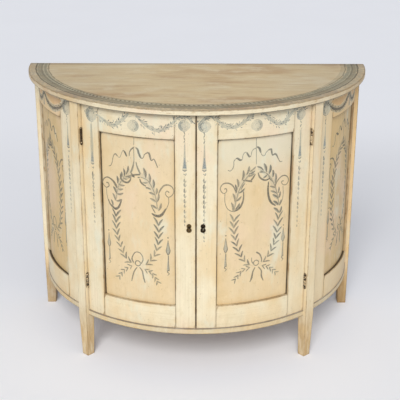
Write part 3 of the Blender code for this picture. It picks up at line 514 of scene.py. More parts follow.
# Who makes each finish, and from what. For milk paint: the ground, how much warm stain and glaze its edges
# have, and the colour, strength and width of the dark line in its joints and along its panels, which is partly
# painted shade
FINISHES = {
    "milk_paint_cream": (milk_paint, "frame", 0.5, "glaze", 0.6, 2.4 * MM),
    "milk_paint_scuffed": (milk_paint, "scuffed", 0.7, "grime", 0.8, 3 * MM),
    "milk_paint_washed": (milk_paint, "washed", 0.25, "glaze", 0.4, 2 * MM),
    "milk_paint_sunned": (milk_paint, "sunned", 0.7, "glaze", 0.7, 2.4 * MM),
    "milk_paint_peach": (milk_paint, "panel", 0.45, "grime", 1.0, 3.2 * MM),
    "milk_paint_tan": (milk_paint, "side_panel", 0.7, "grime", 0.95, 1.8 * MM),
    "rubbed_paint_top": (rubbed_top_paint,),
    "chipped_paint_edge": (chipped_edge_paint,),
    "distemper_on_frame": (distemper, "frame"),
    "distemper_on_panel": (distemper, "panel"),
    "distemper_on_side": (distemper, "side_panel"),
    "distemper_on_sunned": (distemper, "sunned"),
    "distemper_on_top": (distemper, "top"),
    "aged_pine_long": (aged_pine, ALONG_BOARD, 0.0),
    "aged_pine_upright": (aged_pine, UP_BOARD, 0.0),
    "dusty_pine_long": (aged_pine, ALONG_BOARD, 0.75),
    "painted_iron": (painted_iron, 0.46),
    "well_painted_iron": (painted_iron, 0.42),
    "worn_painted_iron": (painted_iron, 0.58),
    "rusted_wrought_iron": (old_metal, "iron", "rust", 0.45, 0.8),
    "tarnished_brass": (old_metal, "brass", "tarnish", 0.35, 0.65),
    "blackened_brass": (old_metal, "tarnish", "grime", 0.4, 0.7),
}


def finish_of(name):
    """One of the cabinet's finishes, made the first time that it is asked for."""
    if name in bpy.data.materials:
        return bpy.data.materials[name]
    maker, *details = FINISHES[name]
    return maker(name, *details)


def wander(points):
    """How far hand planing has moved each point of a face in or out."""
    wear = settings("cabinet_wear")
    scale = 1 / wear.wander_length
    return np.array([noise.noise(Vector(point) * scale) for point in points]) * wear.wander


def node_points(node):
    mesh = frame["nodes"][node].data
    points = np.empty(len(mesh.vertices) * 3)
    mesh.vertices.foreach_get("co", points)
    return points.reshape(-1, 3)


def plan_points(radius, azimuth, height):
    return np.stack([radius * np.sin(azimuth), BACK - radius * np.cos(azimuth), height], axis=-1)


def head_azimuth(points):
    """Azimuth of a post's upper end."""
    head = points[points[:, 2] > points[:, 2].max() - NEAR].mean(axis=0)
    return math.atan2(head[0], BACK - head[1])


class Board:
    """Where a curved board lies: two radii, two heights, and the azimuths of its two sides at each radius."""

    def __init__(self, node):
        points = node_points(node)
        radius = np.hypot(points[:, 0], BACK - points[:, 1])
        azimuth = np.arctan2(points[:, 0], BACK - points[:, 1])
        height = points[:, 2]
        self.inner, self.outer = radius.min(), radius.max()
        self.low, self.high = height.min(), height.max()
        front, rear = radius > self.outer - NEAR, radius < self.inner + NEAR
        trim = self.high - height[front].max()
        self.start = (azimuth[rear].min() - trim / self.inner, azimuth[front].min() - trim / self.outer)
        self.end = (azimuth[rear].max() + trim / self.inner, azimuth[front].max() + trim / self.outer)
        self.middle = (self.start[1] + self.end[1]) / 2
        self.depth = self.outer - self.inner
        self.width = (self.end[1] - self.start[1]) * self.outer

    def place(self, across, through, height):
        share = through / self.depth
        start = self.start[0] + (self.start[1] - self.start[0]) * share
        end = self.end[0] + (self.end[1] - self.end[0]) * share
        return plan_points(self.inner + through, start + (end - start) * across / self.width, height)


class Post:
    """Where a square post lies: axes at its azimuth, and its rectangles at the foot and above the knee."""

    def __init__(self, node, azimuth=None):
        points = node_points(node)
        self.low, self.high = points[:, 2].min(), points[:, 2].max()
        azimuth = head_azimuth(points) if azimuth is None else azimuth
        self.along = np.array((math.cos(azimuth), math.sin(azimuth)))
        self.outward = np.array((math.sin(azimuth), -math.cos(azimuth)))
        plan = points[:, :2] - np.array((0, BACK))
        flat = np.stack([plan @ self.along, plan @ self.outward], axis=-1)
        foot = flat[points[:, 2] < self.low + POST_END]
        head = flat[points[:, 2] > self.high - POST_END]
        self.foot = (foot.min(axis=0), foot.max(axis=0))
        self.head = (head.min(axis=0), head.max(axis=0))
        self.knee = points[(points[:, 2] > KNEE_LOW) & (points[:, 2] < KNEE_HIGH), 2].min()

    def corners(self, height):
        share = min(1.0, (height - self.low) / (self.knee - self.low))
        lows = self.foot[0] + (self.head[0] - self.foot[0]) * share
        highs = self.foot[1] + (self.head[1] - self.foot[1]) * share
        return lows, highs

    def place(self, across, through, height):
        plan = np.outer(across, self.along) + np.outer(through, self.outward)
        return np.column_stack([plan[:, 0], plan[:, 1] + BACK, np.broadcast_to(height, len(plan))])


def even_columns(width):
    return np.linspace(0, 1, max(2, math.ceil(width / COLUMN)) + 1)


def rounded_rectangle(width, depth, inset, corner, columns):
    """Plan of a board from its outer face round: places across and through it, and which face each is on."""
    corner = max(corner - inset, LEAST_CORNER)
    left, right, low, high = inset, width - inset, inset, depth - inset
    across = left + corner + (right - left - 2 * corner) * columns
    through = np.linspace(low + corner, high - corner, PLACES_THROUGH)
    turn = np.array(CORNER_TURNS) * math.pi / 2
    sine, cosine = corner * np.sin(turn), corner * np.cos(turn)
    parts = (
        (across, np.full(len(across), high), 1),
        (right - corner + sine, high - corner + cosine, 1),
        (np.full(len(through), right), through[::-1], 0),
        (right - corner + cosine, low + corner - sine, 0),
        (across[::-1], np.full(len(across), low), -1),
        (left + corner - sine, low + corner - cosine, 0),
        (np.full(len(through), left), through, 0),
        (left + corner - cosine, high - corner + sine, 1),
    )
    return (
        np.concatenate([part[0] for part in parts]),
        np.concatenate([part[1] for part in parts]),
        np.concatenate([np.full(len(part[0]), part[2]) for part in parts]),
    )


def levels(low, high, rounding, spacing):
    """Heights and insets of a board's rings: end face, rounded end, length, and the same again above."""
    turns = [turn * math.pi / 2 for turn in ROUND_TURNS]
    ends = [(rounding - rounding * math.cos(turn), rounding * (1 - math.sin(turn))) for turn in turns]
    rows = max(1, round((high - low - 2 * rounding) / spacing))
    middle = [(low + rounding + (high - low - 2 * rounding) * row / rows, 0.0) for row in range(1, rows)]
    caps = [(low, rounding + inset) for inset in reversed(CAP_INSETS)]
    lower = [(low + rise, inset) for rise, inset in ends]
    upper = [(high - rise, inset) for rise, inset in reversed(ends)]
    return caps + lower + middle + upper + [(high, inset) for _, inset in reversed(caps)]


def place_object(name, data):
    """Adds an object to the scene."""
    placed = bpy.data.objects.new(name, data)
    bpy.context.scene.collection.objects.link(placed)
    return placed


def make_piece(name, points, faces, attributes, materials, indices=None):
    mesh = bpy.data.meshes.new(name)
    mesh.from_pydata([tuple(point) for point in points], [], faces)
    for label, values in attributes.items():
        kind = "FLOAT_VECTOR" if np.ndim(values) == 2 else "FLOAT"
        layer = mesh.attributes.new(label, kind, "POINT")
        field = "vector" if kind == "FLOAT_VECTOR" else "value"
        layer.data.foreach_set(field, np.ascontiguousarray(values, np.float32).ravel())
    for item in materials:
        mesh.materials.append(finish_of(item))
    if indices is not None:
        mesh.polygons.foreach_set("material_index", indices)
    mesh.shade_smooth()
    mesh.set_sharp_from_angle(angle=SHARP)
    mesh.validate()
    return place_object(name, mesh)


def stack(name, rings, materials, kinds=None):
    """A closed solid through rings of points. Each ring is (points, edge distances, grain places)."""
    count = len(rings[0][0])
    faces, indices = [list(range(count))[::-1]], [0]
    for level in range(len(rings) - 1):
        base = level * count
        for here in range(count):
            after = (here + 1) % count
            faces.append((base + here, base + after, base + count + after, base + count + here))
            indices.append(1 if kinds is not None and kinds[here] < 0 and kinds[after] < 0 else 0)
    faces.append([(len(rings) - 1) * count + here for here in range(count)])
    indices.append(0)
    attributes = {
        "edge": np.concatenate([ring[1] for ring in rings]),
        "grain": np.concatenate([ring[2] for ring in rings]),
    }
    points = np.concatenate([ring[0] for ring in rings])
    piece = make_piece(name, points, faces, attributes, materials, indices)
    shape = bmesh.new()
    shape.from_mesh(piece.data)
    bmesh.ops.recalc_face_normals(shape, faces=shape.faces)
    shape.to_mesh(piece.data)
    shape.free()
    return piece


def settle(piece, node, body):
    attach(piece, body)
    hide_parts(node)
    return piece


def corner_distance(across, through, width, depth):
    """Distance of each place on a plan from the nearest of its upright arrises."""
    return np.minimum(np.hypot(np.minimum(across, width - across), depth - through),
                      np.hypot(np.minimum(across, width - across), through))


def board_piece(node, body, paint, rounding, lengthwise=False, hidden=0.0, recess=0, ledge=1.0):
    """Curved board in place of a CAD node: worn arrises, and a face that wanders as a plane leaves it.

    lengthwise is for rails: their grain runs across, and their upper and lower faces are darkened as much as
    ledge says, painted shade with dirt. hidden is how far a panel reaches under its frame; the dark line along
    the panel's edge is partly painted shade. recess says how much painted shade and old dirt lies on the wall
    of the panel's recess: below 0 at the board's start, above 0 at its end."""
    board = Board(node)
    columns = even_columns(board.width)
    rings = []
    for height, inset in levels(board.low, board.high, rounding, ROW):
        worn = rounding * (1 + 0.5 * noise.noise(Vector((board.start[1] * 9, 0, height * 30))))
        across, through, kinds = rounded_rectangle(board.width, board.depth, inset, worn, columns)
        points = board.place(across, through, np.full(len(across), height))
        moved = np.where(kinds > 0, wander(points), 0)
        points = board.place(across, through + moved, np.full(len(across), height))
        near = corner_distance(across, through, board.width, board.depth)
        near = np.minimum(near, min(height - board.low, board.high - height) + inset)
        # The recess wall behind a front strip is darkened: painted shade of the recess, with dirt
        wall = -np.clip(board.depth - through - UNDARKENED_WALL, 0, WALL_SHADE_AND_DIRT)
        near = np.where((kinds == 0) & ((across - board.width / 2) * recess > 0), wall * abs(recess), near)
        # A rail's upper and lower faces are darkened: painted shade with dirt
        if lengthwise and inset > rounding:
            near = np.full(len(near), -WALL_SHADE_AND_DIRT * ledge)
        # A panel's dark line along its frame, wider under the top rail and narrower at its foot: painted shade
        # with dirt
        if hidden:
            sides = np.minimum(across, board.width - across) - hidden
            ends = min(height - board.low + LOW_LIGHT, board.high - height - RAIL_SHADE) - hidden
            near = np.minimum(sides, ends)
        offset = board.start[1] * board.outer
        along, beside = across + offset, np.full(len(across), height)
        grain = np.stack([along, beside, through] if lengthwise else [beside, along, through], axis=-1)
        rings.append((points, near, grain))
    piece = stack(node + "_board", rings, (paint, "aged_pine_upright"), kinds)
    return settle(piece, node, body)


def post_piece(node, azimuth=None, paint="milk_paint_cream"):
    """Square tapering post in place of a CAD node, its arrises worn and its foot scuffed."""
    wear = settings("cabinet_wear")
    post = Post(node, azimuth)
    columns = even_columns((post.head[1] - post.head[0])[0])
    rings = []
    for height, inset in levels(post.low, post.high, wear.arris, ROW):
        lows, highs = post.corners(height)
        width, depth = highs - lows
        worn = wear.arris * (1.1 + 0.6 * noise.noise(Vector((lows[0] * 9, 3, height * 25))))
        across, through, kinds = rounded_rectangle(width, depth, inset, worn, columns)
        near = np.minimum(corner_distance(across, through, width, depth), height - post.low + inset)
        points = post.place(across + lows[0], through + lows[1], height)
        through = through + np.where(kinds > 0, wander(points), 0)
        points = post.place(across + lows[0], through + lows[1], height)
        grain = np.stack([np.full(len(across), height), across, through], axis=-1)
        rings.append((points, near, grain))
    piece = stack(node + "_timber", rings, (paint,))
    return settle(piece, node, "carcass")


def let_in(piece, nodes, azimuth):
    """Cuts the recess that each iron piece is let into, square to an azimuth."""
    post = np.array([[math.cos(azimuth), math.sin(azimuth)], [math.sin(azimuth), -math.cos(azimuth)]])
    for node in nodes:
        points = node_points(node)
        flat = (points[:, :2] - np.array((0, BACK))) @ post.T
        lows = np.array([*flat.min(axis=0), points[:, 2].min()]) - IRON_ROOM
        highs = np.array([*flat.max(axis=0), points[:, 2].max()]) + IRON_ROOM
        shape = bmesh.new()
        bmesh.ops.create_cube(shape, size=1)
        for vert in shape.verts:
            local = (lows + highs) / 2 + np.array(vert.co) * (highs - lows)
            plan = local[:2] @ post
            vert.co = (plan[0], plan[1] + BACK, local[2])
        cut_away(piece, shape)


def cut_away(piece, shape):
    """Cuts a closed shape out of a piece."""
    bmesh.ops.recalc_face_normals(shape, faces=shape.faces)
    mesh = bpy.data.meshes.new("recess")
    shape.to_mesh(mesh)
    shape.free()
    cutter = place_object("recess", mesh)
    cut = piece.modifiers.new("recess", "BOOLEAN")
    cut.operation, cut.object = "DIFFERENCE", cutter
    bpy.context.view_layer.update()
    graph = bpy.context.evaluated_depsgraph_get()
    settled = bpy.data.meshes.new_from_object(piece.evaluated_get(graph))
    piece.modifiers.clear()
    piece.data = settled
    bpy.data.objects.remove(cutter)


def half_round_piece(node, radius_at, rounding, materials, lowered=0.0):
    """Half-round board in place of a CAD node. radius_at gives its radius at each azimuth."""
    low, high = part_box(node)
    low_z, high_z = low.z, high.z - lowered
    back = BACK - high.y
    turns = np.linspace(-1, 1, PLACES_ALONG_CURVE)
    rests = np.linspace(1, -1, PLACES_ALONG_BACK)[1:-1]
    rings = []
    spacing = (high_z - low_z - 2 * rounding) / ROWS_OF_EDGE
    for height, inset in levels(low_z, high_z, rounding, spacing):
        drop = back + inset
        end = math.acos(drop / (radius_at(math.pi / 2) - inset))
        azimuth = turns * end
        radius = np.array([radius_at(angle) for angle in azimuth]) - inset
        scallop = np.array([noise.noise(Vector((angle * 14, height * 60, 7))) for angle in azimuth])
        radius = radius - EDGE_WANDER * (1 + scallop)
        curve = plan_points(radius, azimuth, np.full(len(turns), height))
        reach = curve[-1][0]
        line = np.column_stack([rests * reach, np.full(len(rests), curve[-1][1]),
                                np.full(len(rests), height)])
        points = np.concatenate([curve, line])
        near = np.full(len(points), inset if inset > rounding else min(height - low_z, high_z - height))
        grain = np.stack([azimuth * radius, np.full(len(turns), height), radius], axis=-1)
        grain = np.concatenate([grain, line])
        rings.append((points, near, grain))
    piece = stack(node + "_board", rings, materials)
    return settle(piece, node, "carcass")


LEAF_SHAPE = (0.45, 1.2, 1.5, 1.2, 0.35)


class Brush:
    """Gathers the strokes of one piece: thin closed lenses of paint that lie on a surface."""

    ACROSS = np.array((-0.5, -0.36, 0.0, 0.36, 0.5))
    COVER = np.array((0.1, 1.0, 1.0, 1.0, 0.1))
    RISE = np.array((-0.6, 0.6, 1.0, 0.6, -0.6))

    def __init__(self, place, seed, radius=1.0):
        self.place, self.radius = place, radius
        self.random = random.Random(seed)
        self.points, self.faces = [], []
        self.tone, self.cool, self.cover = [], [], []
        self.count = 0

    def stroke(self, path, widths, tone=0.5, cool=0.2, cover=0.9, layer=0, edge_tone=0.12):
        """One stroke along a smooth path in millimetres, with its widths along it."""
        path, widths = smooth_path(path, widths)
        ahead = np.gradient(path, axis=0)
        ahead /= np.maximum(np.linalg.norm(ahead, axis=1, keepdims=True), 1e-9)
        beside = np.stack([ahead[:, 1], -ahead[:, 0]], axis=-1)
        flat = path[:, None, :] + beside[:, None, :] * (widths[:, None] * self.ACROSS)[..., None]
        film = settings("cabinet_wear").film
        lift = np.broadcast_to(film * self.RISE + film * 0.8 * layer, flat.shape[:2])
        points = self.place(flat[..., 0].ravel() * MM, flat[..., 1].ravel() * MM, lift.ravel())
        ends = np.ones(len(path))
        ends[0] = ends[-1] = FADED_END
        rows, wide = len(path), len(self.ACROSS)
        self.cover.append((cover * self.COVER * ends[:, None]).ravel())
        self.tone.append(np.tile(np.clip(tone + edge_tone * 2 * self.ACROSS, 0, 1), rows))
        self.cool.append(np.full(rows * wide, cool))
        self.points.append(points)
        for row in range(rows - 1):
            first = self.count + row * wide
            after = first + wide
            for step in range(wide - 1):
                self.faces.append((first + step, first + step + 1, after + step + 1, after + step))
            self.faces.append((after - 1, first, after, after + wide - 1))
        last = self.count + (rows - 1) * wide
        self.faces.append(tuple(self.count + step for step in reversed(range(wide))))
        self.faces.append(tuple(last + step for step in range(wide)))
        self.count += rows * wide

    def jitter(self, amount):
        return self.random.uniform(-amount, amount)

    def leaf(self, base, tip, width=4.0, bend=0.08, **look):
        """A single pressed stroke from a leaf's base to its tip."""
        base, tip = np.array(base, float), np.array(tip, float)
        run = tip - base
        middle = (base + tip) / 2 + bend * np.array((run[1], -run[0]))
        self.stroke([base, middle, tip], [share * width for share in LEAF_SHAPE], **look)

    def full_leaf(self, base, tip, width, bend=0.08, side=1, tone=0.8, cool=0.1, cover=1.0):
        """A leaf's thin body, then the loaded edge of the brush down one side of it."""
        base, tip = np.array(base, float), np.array(tip, float)
        run = (tip - base) / np.linalg.norm(tip - base)
        beside = side * 0.22 * width * np.array((run[1], -run[0]))
        self.leaf(base, tip, width, bend, tone=tone * 0.5, cool=cool + 0.15, cover=cover * 0.85)
        self.leaf(base + beside, tip, width * 0.55, bend, tone=min(1, tone + 0.15), cool=cool, cover=cover,
                  layer=1)

    def disc(self, centre, radius, **look):
        turns = np.linspace(0, math.pi, 9)
        path = [(centre[0] - radius * math.cos(turn), centre[1]) for turn in turns]
        self.stroke(path, [2 * radius * max(0.05, math.sin(turn)) for turn in turns], **look)

    def ring(self, centre, radius, width, start=0.0, sweep=math.tau, **look):
        turns = np.linspace(start, start + sweep, max(8, int(sweep * 3)))
        path = [(centre[0] + radius * math.cos(turn), centre[1] + radius * math.sin(turn)) for turn in turns]
        self.stroke(path, width, **look)

    def piece(self, name, body, paint, slot):
        points = np.concatenate(self.points)
        around = np.arctan2(points[:, 0], BACK - points[:, 1]) * self.radius
        attributes = {
            "tone": np.concatenate(self.tone),
            "cool": np.concatenate(self.cool),
            "cover": np.concatenate(self.cover),
            "grain": np.stack([points[:, 2], around, np.full(len(points), PANEL_DEPTH)], axis=-1),
        }
        made = make_piece(name, points, self.faces, attributes, (paint,))
        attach(made, body)
        return made


def smooth_path(path, widths):
    """A Catmull-Rom curve through a few points, sampled finely, with its widths eased between them."""
    path = np.array(path, float)
    widths = np.broadcast_to(np.array(widths, float), (len(path),)) if np.ndim(widths) == 0 else widths
    knots = np.linspace(0, len(path) - 1, len(widths))
    lengths = np.linalg.norm(np.diff(path, axis=0), axis=1)
    padded = np.concatenate([2 * path[:1] - path[1:2], path, 2 * path[-1:] - path[-2:-1]])
    places, shares = [], []
    for index, length in enumerate(lengths):
        steps = max(2, math.ceil(length / STROKE_STEP))
        for share in np.arange(steps) / steps:
            places.append(catmull_rom(padded[index:index + 4], share))
            shares.append(index + share)
    places.append(path[-1])
    shares.append(len(path) - 1)
    return np.array(places), np.interp(shares, knots, widths)


def catmull_rom(four, share):
    before, here, after, beyond = four
    return 0.5 * (2 * here + (after - before) * share
                  + (2 * before - 5 * here + 4 * after - beyond) * share**2
                  + (3 * here - before - 3 * after + beyond) * share**3)


def route(points):
    """Length of a smooth path, and a function that gives the place at a run along it."""
    path, _ = smooth_path(points, 1)
    runs = np.concatenate([[0], np.cumsum(np.linalg.norm(np.diff(path, axis=0), axis=1))])
    return runs[-1], lambda run: np.array([np.interp(run, runs, path[:, axis]) for axis in (0, 1)])


def curved_ground(radius, azimuth):
    """Places strokes on an upright curved face: across from an azimuth, and up."""
    def place(across, up, lift):
        angle = azimuth + across / radius
        face = plan_points(np.full(len(across), radius), angle, up)
        return plan_points(radius + wander(face) + lift, angle, up)
    return place


def curved_brush(board, middle, seed):
    """A brush for a curved board's outer face, whose strokes are placed across from an azimuth and up."""
    return Brush(curved_ground(board.outer, middle), seed, board.outer)


def flat_ground(height, radius):
    """Places strokes on the top: along the curve, and out from a radius."""
    def place(along, out, lift):
        return plan_points(radius + out, along / radius, np.full(len(along), height) + lift)
    return place


# Each door's wreath with its cord, ribbon bow, volutes and pendants, in millimetres right of the door's middle
# and above the floor. A drawn line gives its places, its widths along them and its tone; a leaf gives its base,
# its tip and its width
LEFT_WREATH = {
    "washes": (
        ((-72, 560), (-62, 596), (-44, 636), (-16, 664)), ((8, 662), (30, 644), (50, 614), (60, 570)),
    ),
    "ribbon": (
        (((-92, 666), (-84, 670), (-79, 680), (-76, 694), (-72, 704), (-66, 708), (-59, 701)),
         (0.9, 1.0, 1.1, 1.3, 1.6, 3.6, 2.0), 0.55),
        (((-59, 701), (-52, 700), (-46, 713), (-41, 724)), (0.9, 0.8, 0.8, 1.0), 0.1),
        (((-41, 724), (-35, 718), (-30, 708), (-28, 706)), (1.6, 4.2, 3.4, 1.0), 0.9),
        (((-21, 707), (-20, 719), (-15, 728), (-5, 737)), (1.2, 2.0, 2.2, 2.6), 0.6),
        (((-19, 725), (-12, 733), (-3, 739)), (0.9, 1.2, 1.4), 0.5),
        (((-1, 737), (6, 732), (9, 722), (13, 712), (16, 707), (21, 706), (25, 712), (27, 718), (36, 725)),
         (2.2, 4.6, 5.2, 4.8, 2.6, 1.2, 1.1, 1.3, 2.0), 0.75),
        (((34, 726), (41, 723), (44, 714), (46, 705), (49, 702), (55, 707), (60, 699), (67, 681)),
         (2.0, 4.2, 4.6, 3.2, 1.3, 1.5, 2.0, 1.6), 0.65),
    ),
    "cord": (
        (((-4, 771), (-6, 742)), 0.9, 0.0),
        (((-6, 735), (-6, 699), (-8, 684), (-12, 670), (-18, 655)), (0.9, 1.4, 3.0, 4.6, 4.0), 0.4),
        (((0, 694), (3, 680), (8, 668), (14, 656)), (1.4, 2.8, 4.2, 3.4), 0.45),
        (((-18, 654), (-10, 651), (0, 653), (14, 655)), (3.0, 4.2, 3.6, 3.0), 0.85),
        (((-16, 658), (-12, 648), (-4, 645)), (3.0, 4.4, 2.4), 0.9), (((4, 645), (12, 646)), 2.4, 0.8),
    ),
    "leaves": (
        ((-32, 648), (-25, 678), 5.2), ((-38, 640), (-41, 668), 5.0), ((-52, 630), (-47, 657), 5.8),
        ((-61, 616), (-64, 641), 5.4), ((-62, 615), (-37, 614), 4.6), ((-65, 582), (-78, 605), 6.6),
        ((-64, 599), (-43, 602), 4.6), ((-66, 582), (-43, 589), 4.8), ((-70, 560), (-81, 583), 5.6),
        ((-69, 559), (-48, 569), 4.8), ((-80, 542), (-87, 562), 4.4), ((28, 644), (23, 678), 7.0),
        ((40, 630), (40, 662), 5.6), ((18, 632), (38, 633), 3.6), ((52, 616), (52, 645), 5.4),
        ((46, 611), (28, 616), 4.0), ((60, 597), (63, 619), 4.4), ((58, 594), (38, 602), 5.0),
        ((62, 573), (69, 603), 5.0), ((60, 573), (41, 584), 5.4), ((66, 546), (76, 572), 5.0),
        ((62, 552), (43, 563), 5.0), ((-36, 642), (-15, 650), 4.0), ((-26, 640), (-14, 646), 3.4),
    ),
    "sweeps": (
        (((-52, 650), (-51, 638), (-46, 629), (-38, 625), (-28, 625), (-20, 633), (-17, 642)),
         (1.0, 3.2, 4.4, 4.4, 4.0, 3.2, 1.4), 0.8),
        (((-44, 642), (-36, 634), (-28, 634)), (1.0, 2.2, 1.0), 0.2),
        (((11, 642), (14, 632), (20, 626), (31, 620)), (2.0, 3.8, 4.0, 1.8), 0.85),
        (((12, 648), (34, 640), (48, 620), (57, 598), (62, 572), (64, 550)), (1.2, 2.2, 2.2, 2.2, 2.0, 1.4),
         0.05),
        (((-22, 640), (-42, 634), (-56, 614), (-64, 590), (-70, 562)), (1.2, 2.0, 2.2, 2.0, 1.4), 0.05),
        (((-97, 561), (-91, 547), (-82, 539), (-72, 534), (-62, 540), (-55, 553), (-49, 569)),
         (1.4, 3.2, 5.2, 6.4, 5.2, 4.0, 1.6), 0.85),
        (((46, 537), (56, 531), (68, 530), (79, 537), (90, 556)), (2.0, 6.0, 7.4, 6.4, 2.2), 0.9),
        (((45, 562), (52, 548), (58, 538)), (1.2, 2.4, 1.2), 0.5),
    ),
    "volutes": (
        (((-64, 601), (-69, 611), (-77, 621), (-88, 628), (-100, 630), (-112, 621), (-115, 608), (-104, 597),
          (-93, 603), (-95, 612), (-103, 612)), (4.0, 6.4, 5.0, 3.0, 2.4, 2.0, 1.6, 1.6, 1.8, 2.2, 2.8), 0.7),
        (((-103, 595), (-101, 572), (-96, 553)), 0.9, 0.2),
        (((68, 601), (76, 617), (86, 628), (98, 630), (108, 625), (114, 612), (108, 598), (97, 592),
          (89, 601), (93, 611), (101, 606)), (2.0, 3.4, 3.6, 3.0, 1.8, 1.4, 1.3, 1.3, 1.3, 1.7, 2.2), 0.45),
        (((98, 592), (98, 573), (90, 551)), 1.1, 0.3),
    ),
    "branches": (
        ((-10, 363), (-23, 366), (-39, 376), (-52, 398), (-62, 424), (-70, 458), (-72, 482), (-72, 516)),
        ((12, 363), (29, 369), (44, 386), (56, 407), (63, 430), (66, 455), (67, 480), (66, 506)),
    ),
    "knot": (
        (((-15, 366), (-20, 378), (-18, 388), (-9, 402), (4, 404), (14, 394), (16, 380), (9, 366)),
         (2.6, 3.4, 2.0, 1.8, 1.8, 2.0, 1.6, 1.6), 0.5),
        (((-3, 354), (-12, 341), (-18, 324), (-23, 303)), (1.6, 2.4, 3.2, 2.0), 0.5),
        (((4, 355), (13, 343), (17, 322), (22, 304)), (1.8, 2.8, 3.4, 1.6), 0.55),
    ),
    "ring": (-1, 367),
    "sprigs": (((-12, 360), (-33, 347), (-50, 334), (-66, 309)),
               ((12, 354), (31, 347), (46, 340), (62, 312))),
    "pendants": ((-99, 557, 452, 404, 362, 0.55), (95, 470, 455, 406, 352, 1.0)),
}
